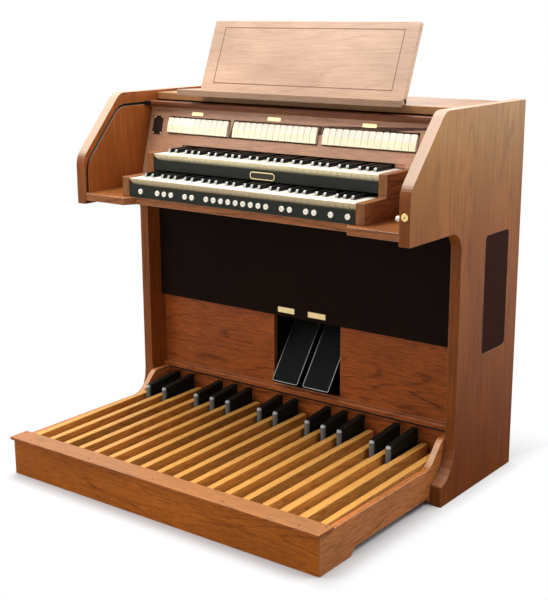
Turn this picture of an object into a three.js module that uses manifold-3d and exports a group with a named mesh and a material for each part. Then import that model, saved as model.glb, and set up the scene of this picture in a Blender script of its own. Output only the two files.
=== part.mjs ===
// A two-manual electronic organ: a cabinet on two shaped side panels, two keyboards,
// rows of rocker stops, two expression pedals, a sliding roll-top and a thirty-note pedalboard.
// Millimetres. X runs to the player's right, Y away from the player, Z up.
// Every piece is drawn with Y = 0 on the cabinet's back face; the last lines centre the whole.
import * as THREE from "three";
import { mergeVertices } from "three/addons/utils/BufferGeometryUtils.js";
import Module from "manifold-3d";

const wasm = await Module();
wasm.setup();

// Gaps and cutting
const fit = 0.3;              // between two pieces that touch
const overrun = 2;            // how far a cutting tool passes a face
const curveSteps = 6;         // straight steps in each rounded stretch
const roundSides = 12;        // sides of a small round bar or hole

// Pedalboard
const pedalPitch = 64.5;      // between the middles of neighbouring long pedals
const pedalWidth = 22;
const pedalHeight = 42;
const pedalTravelGap = 39;    // under the pedals at the front
const pedalRise = 11;         // the rear end stands this much higher at rest
const pedalLength = 637;      // seen length of a long pedal
const longPedals = 18;
const tongueHeight = 29;
const tongueSetback = 3.5;    // from the cap's rear edge to the tall part of the pedal
const blackStickHeight = 20;
const blackCapLength = 122;   // at the middle of the board
const blackCapArc = 42;       // the outer black caps are this much longer
const blackCapRise = 42.6;    // front of a black cap above the long pedals
const blackCapSlope = 13.7;   // rise of a black cap towards the rear
const blackCapRound = 9;
const blackPedalShort = 2;    // black pedals end this much before the long ones
const boardSideGap = 3.75;
const boardRail = 20;
const boardSlideGap = 3;      // between pedalboard and cabinet
const boardFloorGap = 24;
const boardFloor = 10;
const boardFascia = 22;
const boardCapDepth = 68;
const boardCapThickness = 9.4;
const boardCapOverhang = 10.5;
const boardCapSideOverhang = 5.5;
const boardHingeRail = 17;
const boardBack = 20;
const boardBackHeight = 182.7;
const boardBackGap = 16;      // behind the pedals' rear ends
const boardFootLength = 142;
const boardRearFoot = 160;
const boardArch = 22;
const boardArchRun = 30;
const boardEarDepth = 74;     // flat top of the raised rear end of a side rail
const boardEarRun = 106;      // the sweep down from it
const earRoundShare = 0.3;    // how softly the sweep starts, as a share of its run
const earHollowShare = 0.5;   // and how softly it ends
const stopBatten = 30;
const stopBattenDrop = 16;

// Cabinet
const panelThickness = 34;
const cheekUnderside = 807;
const cheekDepth = 654;
const cheekNose = 148;        // height of the upright front of a cheek
const cheekNoseRadius = 27;
const cheekSlopeRun = 174;    // how far the slope goes back
const cheekTopRadius = 20;
const legDepth = 368;
const legCornerRadius = 56;
const footDepth = 443;
const footSweepTop = 178;
const footTop = 68;
const footRound = 14;
const topThickness = 23;
const topSetback = 302;       // front edge of the top, from the back
const cheekLip = 8;           // the cheeks stand above the top
const backThickness = 14;
const backFloorGap = 60;

// Knee panel, grilles and loudspeaker
const kickSetback = 290;      // front face of the knee panel, from the back
const kickThickness = 18;
const mouldingDepth = 16;
const mouldingHeight = 17;
const mouldingChamfer = 5;
const wellSill = 21;          // floor of the well above the knee panel's lower edge
const wellOffset = 28;        // the well sits right of the middle
const wellWall = 10;
const wellDepth = 190;
const grilleThickness = 20;
const grilleLower = 444;
const kickOverlap = 26;       // how far the knee panel runs up behind the grille
const sideGrilleWidth = 148;
const sideGrilleHeight = 360;
const sideGrilleBack = 74;
const sideGrilleFoot = 412;
const sideGrilleRadius = 14;
const sideGrilleThickness = 12;
const sideGrilleSink = 1;
const speakerRadius = 108;
const speakerDepth = 86;
const speakerRim = 6;
const speakerMagnet = 48;
const speakerMagnetDepth = 30;
const speakerInset = 256;     // its middle, from the left side panel

// Expression pedals
const shoeWidth = 102;
const shoeGap = 21;
const shoeSideGap = 19.5;
const shoeLength = 250;
const shoeThickness = 18;
const shoeAngle = 54.3;       // degrees from level
const shoeHeelReach = 38;     // the heel stands this far in front of the knee panel
const shoeHeelLift = 21;      // and this far above the sill
const shoePivotAlong = 105;
const shoePivotBehind = 32;
const shoeLugWidth = 40;
const shoeLugRadius = 15;
const axleRadius = 6;
const axleClearance = 0.8;
const shoeToeRoom = 22;

// Key bed and keyboards
const keyBedLift = 11.5;      // underside of the bed above the cheeks' underside
const keyBedThickness = 23.5;
const keyBedSetback = 3;      // of the side portions, from the cheeks' front
const keyBedRecess = 38;      // of the middle portion, from the side portions
const keyBedSideRun = 166;    // width of a side portion
const keyBedReturn = 21;
const octaveWidth = 165;
const octaveNaturals = 7;
const keyboardOctaves = 5;
const naturalGap = 1;
const naturalHead = 50;       // playing length in front of the sharps
const naturalDepth = 25;      // height of a natural
const naturalUndercut = 19;   // the front slants back by this much
const keyLift = 58.4;         // top of the lower naturals above the bed
const keySetback = 37.8;      // lower key fronts behind the cheeks' front
const manualRise = 65.2;
const manualStep = 113.8;
const keyBalance = 190;       // from a natural's front to its balance rail
const keyBar = 15;
const keyBarDrop = 2;
const sharpWidth = 10.4;
const sharpSlotGap = 1.2;
const sharpRise = 11.5;
const sharpFrontSlope = 4;
const sharpStem = 20;
const sharpRearGap = 4;
const sharpBarGap = 2;
const sharpBarDepth = 13;
const sharpBarTop = 10;
const sharpStemLift = 1;
const keySideGap = 0.6;
const keyBlockThickness = 29;
const keyBlockLift = 3;       // block tops above the naturals
const keyBlockAdvance = 1;    // block fronts ahead of the key fronts
const nameboardThickness = 5;
const nameboardFoot = 14.1;   // lower edge above the lower naturals
const nameboardTop = 19;      // upper edge below the upper naturals
const shelfThickness = 10;
const railThickness = 5;
const railTopDrop = 18;      // top of the piston rail below the naturals

// Thumb pistons
const pistonRadius = 8.5;
const pistonProud = 4;
const pistonPitch = 28.2;
const pistonOffset = 13.6;    // the pistons sit this much right of the middle
const pistonFirstGap = 13.8;  // extra space after the first group
const pistonBar = 5;
const pistonBarHeight = 10;
const pistonClearance = 0.6;
const pistonCounts = [1, 3, 2, 9, 2, 2, 1, 1];

// Stop panel and rocker stops
const stopTilt = 15.6;        // degrees from upright
const stopThickness = 12;
const stopFootClearance = 5;  // above the upper sharps
const keyOpeningGap = 2;      // between the upper sharps and the panel's opening for the keys
const stopHeight = 107;
const stopSetback = 142;      // foot of the panel behind the upper key fronts
const tabPitch = 23.3;
const tabGap = 0.9;
const tabHeight = 50;
const tabWindow = 56;
const tabCentreLift = 58;     // middle of the stops above the panel's foot
const tabGroupGap = 22;
const tabOffset = 21.1;       // the stops sit this much left of the middle
const tabCounts = [11, 14, 14];
const tabGroupNames = ["stop_tabs_left", "stop_tabs_centre", "stop_tabs_right"];
const tabBorder = 3;
const tabTopProud = 5;
const tabMiddleProud = 9;
const tabFootProud = 11;
const tabSink = 5;
const tabAxle = 5;            // thickness of the bar on which a group rocks
const tabAxleEnd = 6;         // its bearing behind the panel, at each side

// Roll-top
const grooveWidth = 9;
const grooveDepth = 8;
const grooveFrontInset = 14;
const grooveSlopeInset = 23;
const grooveBend = 32;
const grooveRearInset = 36;
const grooveLift = 2;         // level stretch above the middle of the roll-top's rail
const rollRailHeight = 21;
const rollRailDepth = 18;
const rollRailGap = 8;        // above the stop panel
const rollTopGap = 1.2;       // below the top
const rollAdvance = 50;       // rail front ahead of the top's front
const rollSlat = 8;
const rollTongue = 6.5;
const rollRearRoom = 12;

// Lock in the right cheek
const lockRadius = 8.7;
const lockFaceRadius = 10.8;
const lockFaceThickness = 2.5;
const lockDepth = 22;
const lockClearance = 0.4;
const lockSides = 24;
const lockDrop = 69;          // below the cheek's nose

// Music desk
const deskWidth = 774;
const deskHeight = 252;
const deskThickness = 16;
const deskLean = 21.8;        // degrees from upright
const deskFoot = 316.5;       // front foot of the board, from the back
const ledgeWidth = 846;
const ledgeThickness = 20;
const ledgeReach = 69;        // in front of the board
const heelDepth = 45;         // foot behind the board, resting on the top
const heelInset = 60;

// Back panel
const ventWidth = 120;
const ventHeight = 8;
const ventPitch = 22;
const ventRows = 6;
const ventColumns = 3;
const ventSpacing = 260;
const ventFoot = 640;
const inletWidth = 48;
const inletHeight = 28;
const inletLift = 90;
const inletOffset = 430;

// Sizes that follow from those above
const degree = Math.PI / 180;
const boardInner = (longPedals - 1) * pedalPitch + pedalWidth + 2 * boardSideGap;
const boardWidth = boardInner + 2 * boardRail;
const innerHalf = boardWidth / 2 + boardSlideGap;
const outerHalf = innerHalf + panelThickness;
const pieceHalf = innerHalf - fit;

const pedalRear = -(kickSetback + boardBackGap);
const pedalFront = pedalRear - pedalLength;
const capRear = pedalFront - tongueSetback;
const capFront = capRear - boardCapDepth;
const fasciaFront = capFront + boardCapOverhang;
const fasciaRear = fasciaFront + boardFascia;
const hingeLine = fasciaRear + boardHingeRail;
const boardFloorTop = boardFloorGap + boardFloor;
const pedalFoot = boardFloorTop + pedalTravelGap + overrun;
const pedalTop = pedalFoot + pedalHeight;
const capUnder = pedalTop - 2 * overrun + fit;
const capTop = capUnder + boardCapThickness;

const keyBedUnder = cheekUnderside + keyBedLift;
const keyBedTop = keyBedUnder + keyBedThickness;
const lowerTop = keyBedTop + keyLift;
const upperTop = lowerTop + manualRise;
const lowerFront = -(cheekDepth - keySetback);
const upperFront = lowerFront + manualStep;
const naturals = octaveNaturals * keyboardOctaves + 1;
const naturalPitch = octaveWidth / octaveNaturals;
const keyboardHalf = naturals * naturalPitch / 2;
const blockInner = keyboardHalf + keySideGap;
const blockOuter = blockInner + keyBlockThickness;

const stopFoot = upperTop + sharpRise + stopFootClearance;
const stopTop = stopFoot + stopHeight;
const stopFootFront = upperFront + stopSetback;
const stopLean = Math.tan(stopTilt * degree);
const stopSlant = stopThickness / Math.cos(stopTilt * degree);
const stopFaceAt = (z) => stopFootFront + (z - stopFoot) * stopLean;
const rollRailFoot = stopTop + rollRailGap;
const rollRailTop = rollRailFoot + rollRailHeight;
const topUnder = rollRailTop + rollTopGap;
const topSurface = topUnder + topThickness;
const consoleHeight = topSurface + cheekLip;
const topFront = -topSetback;
const noseHeight = cheekUnderside + cheekNose;
const slopeTop = -(cheekDepth - cheekSlopeRun);
const grooveLevel = rollRailFoot + rollRailHeight / 2 + grooveLift;

const kickFront = -kickSetback;
const kickRear = kickFront + kickThickness;
const kickFoot = boardBackHeight + fit;
const sill = kickFoot + wellSill;
const shoeRise = shoeAngle * degree;
const shoeAlong = [Math.cos(shoeRise), Math.sin(shoeRise)];
const shoeBehind = [Math.sin(shoeRise), -Math.cos(shoeRise)];
const heel = [kickFront - shoeHeelReach, sill + shoeHeelLift];
const shoePivot = [0, 1].map((k) => heel[k] + shoePivotAlong * shoeAlong[k]
  + shoePivotBehind * shoeBehind[k]);
const wellTop = heel[1] + shoeLength * shoeAlong[1] + shoeToeRoom;
const kickTop = Math.max(wellTop, grilleLower) + kickOverlap;
const wellHalf = shoeWidth + shoeGap / 2 + shoeSideGap;
const wellLeft = wellOffset - wellHalf;
const wellRight = wellOffset + wellHalf;

// Helpers that make solids
const turnTo = {
  x: new THREE.Matrix4().makeBasis(new THREE.Vector3(0, 1, 0), new THREE.Vector3(0, 0, 1),
    new THREE.Vector3(1, 0, 0)),
  y: new THREE.Matrix4().makeBasis(new THREE.Vector3(1, 0, 0), new THREE.Vector3(0, 0, 1),
    new THREE.Vector3(0, -1, 0)),
  z: new THREE.Matrix4(),
};

function shapeOf(points) {
  return new THREE.Shape(points.map(([a, b]) => new THREE.Vector2(a, b)));
}

// A shape drawn across an axis and stretched along it from low to high.
// Across x it is drawn in (y, z), across y in (x, z) and across z in (x, y).
function prism(shape, axis, low, high) {
  const geometry = new THREE.ExtrudeGeometry(shape,
    { depth: high - low, bevelEnabled: false, curveSegments: curveSteps });
  geometry.applyMatrix4(turnTo[axis]);
  const start = { x: [low, 0, 0], y: [0, high, 0], z: [0, 0, low] }[axis];
  return geometry.translate(...start);
}

function block([x0, x1], [y0, y1], [z0, z1]) {
  const geometry = new THREE.BoxGeometry(x1 - x0, y1 - y0, z1 - z0);
  return geometry.translate((x0 + x1) / 2, (y0 + y1) / 2, (z0 + z1) / 2);
}

// A rod or round hole along y, between two depths.
function roundBar(radius, sides, x, z, low, high) {
  const geometry = new THREE.CylinderGeometry(radius, radius, high - low, sides);
  return geometry.translate(x, (low + high) / 2, z);
}

function solid(geometry) {
  const bare = geometry.index ? geometry.clone() : geometry;
  bare.deleteAttribute("normal");
  bare.deleteAttribute("uv");
  const merged = mergeVertices(bare);
  return new wasm.Manifold(new wasm.Mesh({
    numProp: 3,
    vertProperties: new Float32Array(merged.attributes.position.array),
    triVerts: new Uint32Array(merged.index.array),
  }));
}

function join(...geometries) {
  return geometries.map(solid).reduce((whole, next) => whole.add(next));
}

function cut(body, ...tools) {
  const whole = body instanceof wasm.Manifold ? body : solid(body);
  return tools.map(solid).reduce((left, tool) => left.subtract(tool), whole);
}

function meshOf(body) {
  if (!(body instanceof wasm.Manifold)) return body;
  const { vertProperties, triVerts } = body.getMesh();
  const geometry = new THREE.BufferGeometry();
  geometry.setAttribute("position", new THREE.BufferAttribute(vertProperties, 3));
  geometry.setIndex(new THREE.BufferAttribute(triVerts, 1));
  geometry.computeVertexNormals();
  return geometry;
}

const finishes = {
  wood: { color: 0x8a5636, roughness: 0.55, metalness: 0 },
  desk: { color: 0xc79a7a, roughness: 0.55, metalness: 0 },
  oak: { color: 0xd2a053, roughness: 0.5, metalness: 0 },
  ivory: { color: 0xf6efdc, roughness: 0.3, metalness: 0 },
  black: { color: 0x16181a, roughness: 0.45, metalness: 0 },
  cloth: { color: 0x1d120e, roughness: 0.9, metalness: 0 },
  brass: { color: 0xe3c46a, roughness: 0.3, metalness: 1 },
  steel: { color: 0x8d9094, roughness: 0.4, metalness: 0.8 },
  board: { color: 0x6b4a32, roughness: 0.8, metalness: 0 },
};

function piece(parent, name, body, finish) {
  const mesh = new THREE.Mesh(meshOf(body), new THREE.MeshStandardMaterial(finishes[finish]));
  mesh.name = name;
  parent.add(mesh);
  return mesh;
}

const group = new THREE.Group();
const cabinet = new THREE.Group();
const keyboards = new THREE.Group();
const stops = new THREE.Group();
const swell = new THREE.Group();
const pedalboard = new THREE.Group();
group.add(cabinet, keyboards, stops, swell, pedalboard);

// Side panels: one shaped board each, with the cheek overhanging the leg
function sidePanelShape() {
  const shape = new THREE.Shape();
  const slope = new THREE.Vector2(cheekSlopeRun, consoleHeight - noseHeight).normalize();
  shape.moveTo(0, 0);
  shape.lineTo(0, consoleHeight);
  shape.lineTo(slopeTop + cheekTopRadius, consoleHeight);
  shape.quadraticCurveTo(slopeTop, consoleHeight,
    slopeTop - slope.x * cheekTopRadius, consoleHeight - slope.y * cheekTopRadius);
  shape.lineTo(-cheekDepth + slope.x * cheekNoseRadius, noseHeight + slope.y * cheekNoseRadius);
  shape.quadraticCurveTo(-cheekDepth, noseHeight, -cheekDepth, noseHeight - cheekNoseRadius);
  shape.lineTo(-cheekDepth, cheekUnderside);
  shape.lineTo(-legDepth - legCornerRadius, cheekUnderside);
  shape.absarc(-legDepth - legCornerRadius, cheekUnderside - legCornerRadius, legCornerRadius,
    Math.PI / 2, 0, true);
  shape.lineTo(-legDepth, footSweepTop);
  shape.bezierCurveTo(-legDepth, (footSweepTop + footTop) / 2, (-legDepth - footDepth) / 2, footTop,
    -footDepth + footRound, footTop);
  shape.quadraticCurveTo(-footDepth, footTop, -footDepth, footTop - footRound);
  shape.lineTo(-footDepth, 0);
  return shape;
}

// The roll-top's groove: up from the key bed, along the slope and back under the top.
function grooveShape() {
  const slope = new THREE.Vector2(cheekSlopeRun, consoleHeight - noseHeight).normalize();
  const line = new THREE.Vector2(-cheekDepth + slope.y * grooveSlopeInset,
    noseHeight - slope.x * grooveSlopeInset);
  const frontY = -cheekDepth + grooveFrontInset;
  const lowBend = [frontY, line.y + (frontY - line.x) * slope.y / slope.x];
  const highBend = [line.x + (grooveLevel - line.y) * slope.x / slope.y, grooveLevel];
  const path = new THREE.Path();
  path.moveTo(frontY, keyBedTop);
  path.lineTo(frontY, lowBend[1] - grooveBend);
  path.quadraticCurveTo(...lowBend, lowBend[0] + slope.x * grooveBend,
    lowBend[1] + slope.y * grooveBend);
  path.lineTo(highBend[0] - slope.x * grooveBend, highBend[1] - slope.y * grooveBend);
  path.quadraticCurveTo(...highBend, highBend[0] + grooveBend, grooveLevel);
  path.lineTo(-grooveRearInset, grooveLevel);
  const points = path.getPoints(curveSteps);
  const sides = points.map((point, k) => {
    const before = points[Math.max(k - 1, 0)];
    const after = points[Math.min(k + 1, points.length - 1)];
    const along = after.clone().sub(before).normalize();
    const across = new THREE.Vector2(-along.y, along.x).multiplyScalar(grooveWidth / 2);
    return [point.clone().add(across), point.clone().sub(across)];
  });
  return new THREE.Shape([...sides.map((s) => s[0]), ...sides.map((s) => s[1]).reverse()]);
}

function roundedRectangle(low, high, radius) {
  const shape = new THREE.Shape();
  shape.moveTo(low[0] + radius, low[1]);
  shape.lineTo(high[0] - radius, low[1]);
  shape.absarc(high[0] - radius, low[1] + radius, radius, -Math.PI / 2, 0, false);
  shape.lineTo(high[0], high[1] - radius);
  shape.absarc(high[0] - radius, high[1] - radius, radius, 0, Math.PI / 2, false);
  shape.lineTo(low[0] + radius, high[1]);
  shape.absarc(low[0] + radius, high[1] - radius, radius, Math.PI / 2, Math.PI, false);
  shape.lineTo(low[0], low[1] + radius);
  shape.absarc(low[0] + radius, low[1] + radius, radius, Math.PI, 1.5 * Math.PI, false);
  return shape;
}

function sideGrilleShape(clearance) {
  const front = -sideGrilleBack - sideGrilleWidth;
  return roundedRectangle([front + clearance, sideGrilleFoot + clearance],
    [-sideGrilleBack - clearance, sideGrilleFoot + sideGrilleHeight - clearance], sideGrilleRadius);
}

const lockX = innerHalf + panelThickness / 2;
const lockZ = noseHeight - lockDrop;
const lockFront = -cheekDepth - lockFaceThickness - fit;

for (const [name, side] of [["left", -1], ["right", 1]]) {
  const [low, high] = side < 0 ? [-outerHalf, -innerHalf] : [innerHalf, outerHalf];
  const inner = side * innerHalf;
  const groove = prism(grooveShape(), "x", Math.min(inner - side * overrun, inner + side * grooveDepth),
    Math.max(inner - side * overrun, inner + side * grooveDepth));
  const tools = [groove, prism(sideGrilleShape(0), "x", low - overrun, high + overrun)];
  if (side > 0) {
    tools.push(roundBar(lockRadius + lockClearance, lockSides, lockX, lockZ,
      -cheekDepth - overrun, -cheekDepth + lockDepth + lockClearance));
  }
  piece(cabinet, `side_panel_${name}`, cut(prism(sidePanelShape(), "x", low, high), ...tools), "wood");
  const face = side * (outerHalf - sideGrilleSink);
  const rear = face - side * sideGrilleThickness;
  piece(cabinet, `side_grille_${name}`, prism(sideGrilleShape(fit), "x",
    Math.min(face, rear), Math.max(face, rear)), "cloth");
}

const lock = join(
  roundBar(lockRadius, lockSides, lockX, lockZ, -cheekDepth - fit - lockFaceThickness / 2,
    -cheekDepth + lockDepth),
  roundBar(lockFaceRadius, lockSides, lockX, lockZ, lockFront, -cheekDepth - fit));
piece(cabinet, "lock_cylinder", lock, "brass");

// Top, back and key bed
piece(cabinet, "top_panel", block([-pieceHalf, pieceHalf], [topFront, 0],
  [topUnder, topSurface]), "wood");

const vents = [];
for (let row = 0; row < ventRows; row += 1) {
  for (let column = 0; column < ventColumns; column += 1) {
    const x = (column - (ventColumns - 1) / 2) * ventSpacing;
    const z = ventFoot + row * ventPitch;
    vents.push(block([x - ventWidth / 2, x + ventWidth / 2],
      [-backThickness - overrun, overrun], [z, z + ventHeight]));
  }
}
const inletX = innerHalf - inletOffset;
const inlet = block([inletX - inletWidth / 2, inletX + inletWidth / 2],
  [-backThickness - overrun, overrun],
  [backFloorGap + inletLift, backFloorGap + inletLift + inletHeight]);
piece(cabinet, "back_panel", cut(block([-pieceHalf, pieceHalf], [-backThickness, 0],
  [backFloorGap, topUnder - fit]), ...vents, inlet), "board");

const bedFront = -cheekDepth + keyBedSetback;
const bedStep = innerHalf - keyBedSideRun;
const bedHalf = [[pieceHalf, kickRear], [pieceHalf, bedFront], [bedStep, bedFront],
  [bedStep - keyBedReturn, bedFront + keyBedRecess]];
const bedShape = shapeOf([...bedHalf, ...bedHalf.map(([x, y]) => [-x, y]).reverse()]);

// A balance rail carries the rear of both key combs of a keyboard.
function balanceRail(front, top, foot) {
  const rear = front + keyBalance + keyBar + sharpBarGap + sharpBarDepth;
  return block([-keyboardHalf, keyboardHalf], [front + keyBalance, rear],
    [foot - overrun, top - naturalDepth - fit]);
}
piece(cabinet, "key_bed", join(prism(bedShape, "z", keyBedUnder, keyBedTop),
  balanceRail(lowerFront, lowerTop, keyBedTop)), "wood");

// Knee panel with its moulding and the opening for the expression pedals
const moulding = shapeOf([
  [kickFront + overrun, kickFoot], [kickFront - mouldingDepth, kickFoot],
  [kickFront - mouldingDepth, kickFoot + mouldingHeight - mouldingChamfer],
  [kickFront - mouldingDepth + mouldingChamfer, kickFoot + mouldingHeight],
  [kickFront + overrun, kickFoot + mouldingHeight]]);
const kick = join(block([-pieceHalf, pieceHalf], [kickFront, kickRear], [kickFoot, kickTop]),
  prism(moulding, "x", -pieceHalf, pieceHalf));
piece(cabinet, "kick_panel", cut(kick, block([wellLeft, wellRight],
  [kickFront - overrun, kickRear + overrun], [sill, wellTop])), "wood");

const grilleFront = kickFront - fit - grilleThickness;
piece(cabinet, "front_grille", block([-pieceHalf, pieceHalf], [grilleFront, kickFront - fit],
  [grilleLower, keyBedUnder - fit]), "cloth");

// Loudspeaker, fixed behind the grille
const cone = [[0, 0], [speakerRadius, 0], [speakerRadius, speakerRim],
  [speakerRadius - 2 * speakerRim, speakerRim],
  [speakerMagnet, speakerDepth - speakerMagnetDepth], [speakerMagnet, speakerDepth],
  [0, speakerDepth]];
const speaker = new THREE.LatheGeometry(cone.map(([r, y]) => new THREE.Vector2(r, y)),
  2 * roundSides);
speaker.translate(speakerInset - innerHalf, kickFront, (kickTop + keyBedUnder) / 2);
piece(cabinet, "loudspeaker", solid(speaker), "steel");

// Stop panel: leans back, open below its middle for the upper keyboard
const stopSide = shapeOf([
  [stopFaceAt(keyBedTop + fit), keyBedTop + fit],
  [stopFaceAt(keyBedTop + fit) + stopSlant, keyBedTop + fit],
  [stopFaceAt(stopTop) + stopSlant, stopTop], [stopFaceAt(stopTop), stopTop]]);
const tabCentre = stopFoot + tabCentreLift;
const tabSpan = tabCounts.reduce((x, count) => x + count * tabPitch + tabGroupGap,
  -tabGap - tabGroupGap);
const tabStarts = tabCounts.map((count, k) => tabCounts.slice(0, k)
  .reduce((x, before) => x + before * tabPitch + tabGroupGap, -tabSpan / 2 - tabOffset));
const windowSpan = (k) => [tabStarts[k] - tabBorder,
  tabStarts[k] + tabCounts[k] * tabPitch - tabGap + tabBorder];
const windows = tabCounts.map((count, k) => block(windowSpan(k),
  [stopFaceAt(keyBedTop) - overrun, stopFaceAt(stopTop) + stopSlant + overrun],
  [tabCentre - tabWindow / 2, tabCentre + tabWindow / 2]));
const keyOpening = block([-blockInner, blockInner],
  [stopFaceAt(keyBedTop) - overrun, stopFaceAt(stopTop) + stopSlant + overrun],
  [keyBedTop - overrun, upperTop + sharpRise + keyOpeningGap]);
piece(stops, "stop_panel", cut(prism(stopSide, "x", -pieceHalf, pieceHalf),
  keyOpening, ...windows), "wood");

// Rocker stops: each group is a comb, joined by a bar behind the panel.
// A place is given by its height above the stop's middle and how far it stands proud.
const lean = stopTilt * degree;
function atStop(proud, rise) {
  return [stopFaceAt(tabCentre) + rise * Math.sin(lean) - proud * Math.cos(lean),
    tabCentre + rise * Math.cos(lean) + proud * Math.sin(lean)];
}
const tabSide = shapeOf([
  atStop(tabTopProud, tabHeight / 2), atStop(tabMiddleProud, 0), atStop(tabFootProud, -tabHeight / 2),
  atStop(-tabSink, -tabHeight / 2), atStop(-stopThickness - fit, -tabAxle / 2),
  atStop(-stopThickness - fit - tabAxle, -tabAxle / 2),
  atStop(-stopThickness - fit - tabAxle, tabAxle / 2),
  atStop(-stopThickness - fit, tabAxle / 2), atStop(-tabSink, tabHeight / 2)]);
const tabAxleSide = shapeOf([
  atStop(-stopThickness - fit, -tabAxle / 2), atStop(-stopThickness - fit - tabAxle, -tabAxle / 2),
  atStop(-stopThickness - fit - tabAxle, tabAxle / 2), atStop(-stopThickness - fit, tabAxle / 2)]);
tabCounts.forEach((count, k) => {
  const start = tabStarts[k];
  const tabs = Array.from({ length: count }, (unused, n) => prism(tabSide, "x",
    start + n * tabPitch, start + (n + 1) * tabPitch - tabGap));
  const [left, right] = windowSpan(k);
  const bar = prism(tabAxleSide, "x", left - tabAxleEnd, right + tabAxleEnd);
  piece(stops, tabGroupNames[k], join(bar, ...tabs), "ivory");
});

// Stepped blocks that close both ends of the keyboards
const lowerStep = lowerTop + keyBlockLift;
const upperStep = upperTop + keyBlockLift;
const blockSide = shapeOf([
  [lowerFront - keyBlockAdvance, keyBedTop + fit], [lowerFront - keyBlockAdvance, lowerStep],
  [upperFront, lowerStep], [upperFront, upperStep],
  [stopFaceAt(upperStep) - fit, upperStep], [stopFaceAt(keyBedTop) - fit, keyBedTop + fit]]);
piece(keyboards, "key_block_left", prism(blockSide, "x", -blockOuter, -blockInner), "wood");
piece(keyboards, "key_block_right", prism(blockSide, "x", blockInner, blockOuter), "wood");

// Board between the keyboards, with the shelf and rail that carry the upper keys
const boardHalf = blockInner - fit;
const nameFoot = lowerTop + nameboardFoot;
const upperRail = balanceRail(upperFront, upperTop, nameFoot + shelfThickness);
const upperRear = upperFront + keyBalance + keyBar + sharpBarGap + sharpBarDepth;
piece(keyboards, "nameboard", join(
  block([-boardHalf, boardHalf], [upperFront, upperFront + nameboardThickness],
    [nameFoot, upperTop - nameboardTop]),
  block([-boardHalf, boardHalf], [upperFront, upperRear], [nameFoot, nameFoot + shelfThickness]),
  upperRail), "black");

// Keys: the naturals and the sharps of a keyboard are two combs, each joined by a rear bar.
const sharpAfterShares = [[0, -0.1], [1, 0.1], [3, -0.13], [4, 0], [5, 0.13]];
const sharpCentres = [];
for (let octave = 0; octave < keyboardOctaves; octave += 1) {
  for (const [note, shiftShare] of sharpAfterShares) {
    sharpCentres.push(-keyboardHalf + (octaveNaturals * octave + note + 1 + shiftShare) * naturalPitch);
  }
}

function naturalComb(front, top) {
  const rear = front + keyBalance + keyBar;
  const side = shapeOf([
    [front, top], [front + naturalUndercut, top - naturalDepth],
    [rear - keyBar / 2, top - naturalDepth], [rear - keyBar / 2, top - keyBarDrop],
    [front + keyBalance, top - keyBarDrop], [front + keyBalance, top]]);
  const keys = Array.from({ length: naturals }, (unused, n) => {
    const x = -keyboardHalf + n * naturalPitch;
    return prism(side, "x", x + naturalGap / 2, x + naturalPitch - naturalGap / 2);
  });
  const slots = sharpCentres.map((x) => block(
    [x - sharpWidth / 2 - sharpSlotGap, x + sharpWidth / 2 + sharpSlotGap],
    [front + naturalHead, front + keyBalance - sharpBarGap],
    [top - naturalDepth - overrun, top + overrun]));
  const bar = block([-keyboardHalf + naturalGap / 2, keyboardHalf - naturalGap / 2],
    [front + keyBalance, rear], [top - naturalDepth, top - keyBarDrop]);
  return cut(join(...keys), ...slots).add(solid(bar));
}

function sharpComb(front, top) {
  const start = front + naturalHead + sharpSlotGap;
  const stemRear = front + keyBalance - sharpBarGap - sharpRearGap;
  const barFront = front + keyBalance + keyBar + sharpBarGap;
  const side = shapeOf([
    [start, top - sharpStem], [start, top + sharpStemLift],
    [start + sharpFrontSlope, top + sharpRise], [barFront + overrun, top + sharpRise],
    [barFront + overrun, top + sharpStemLift], [stemRear, top + sharpStemLift],
    [stemRear, top - sharpStem]]);
  const keys = sharpCentres.map((x) => prism(side, "x", x - sharpWidth / 2, x + sharpWidth / 2));
  const bar = block([sharpCentres[0] - sharpWidth / 2, sharpCentres.at(-1) + sharpWidth / 2],
    [barFront, barFront + sharpBarDepth], [top - naturalDepth, top + sharpBarTop]);
  return join(bar, ...keys);
}

for (const [name, front, top] of [["lower", lowerFront, lowerTop], ["upper", upperFront, upperTop]]) {
  piece(keyboards, `${name}_naturals`, naturalComb(front, top), "ivory");
  piece(keyboards, `${name}_sharps`, sharpComb(front, top), "black");
}

// Thumb pistons in the rail under the lower keys, joined by a bar behind the rail
const railFront = lowerFront - keyBlockAdvance;
const railRear = railFront + railThickness;
const railTop = lowerTop - railTopDrop;
const pistonZ = (keyBedTop + railTop) / 2;
const pistonSteps = pistonCounts.flatMap((count, k) => Array.from({ length: count }, (unused, n) => {
  if (n > 0) return pistonPitch;
  return k === 0 ? 0 : 2 * pistonPitch + (k === 1 ? pistonFirstGap : 0);
}));
const pistonSpan = pistonSteps.reduce((x, step) => x + step, 0);
const pistonPlaces = pistonSteps.map((step, k) => pistonOffset - pistonSpan / 2
  + pistonSteps.slice(0, k + 1).reduce((x, before) => x + before, 0));
const pistonHoles = pistonPlaces.map((x) => roundBar(pistonRadius + pistonClearance, roundSides,
  x, pistonZ, railFront - overrun, railRear + overrun));
piece(keyboards, "piston_rail", cut(block([-boardHalf, boardHalf], [railFront, railRear],
  [keyBedTop + fit, railTop]), ...pistonHoles), "black");

const barFrontY = railRear + overrun;
const pistons = pistonPlaces.map((x) => roundBar(pistonRadius, roundSides, x, pistonZ,
  railFront - pistonProud, barFrontY + pistonBar / 2));
const pistonTie = block([pistonPlaces[0], pistonPlaces.at(-1)],
  [barFrontY, barFrontY + pistonBar],
  [pistonZ - pistonBarHeight / 2, pistonZ + pistonBarHeight / 2]);
piece(keyboards, "thumb_pistons", join(pistonTie, ...pistons), "ivory");

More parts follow.
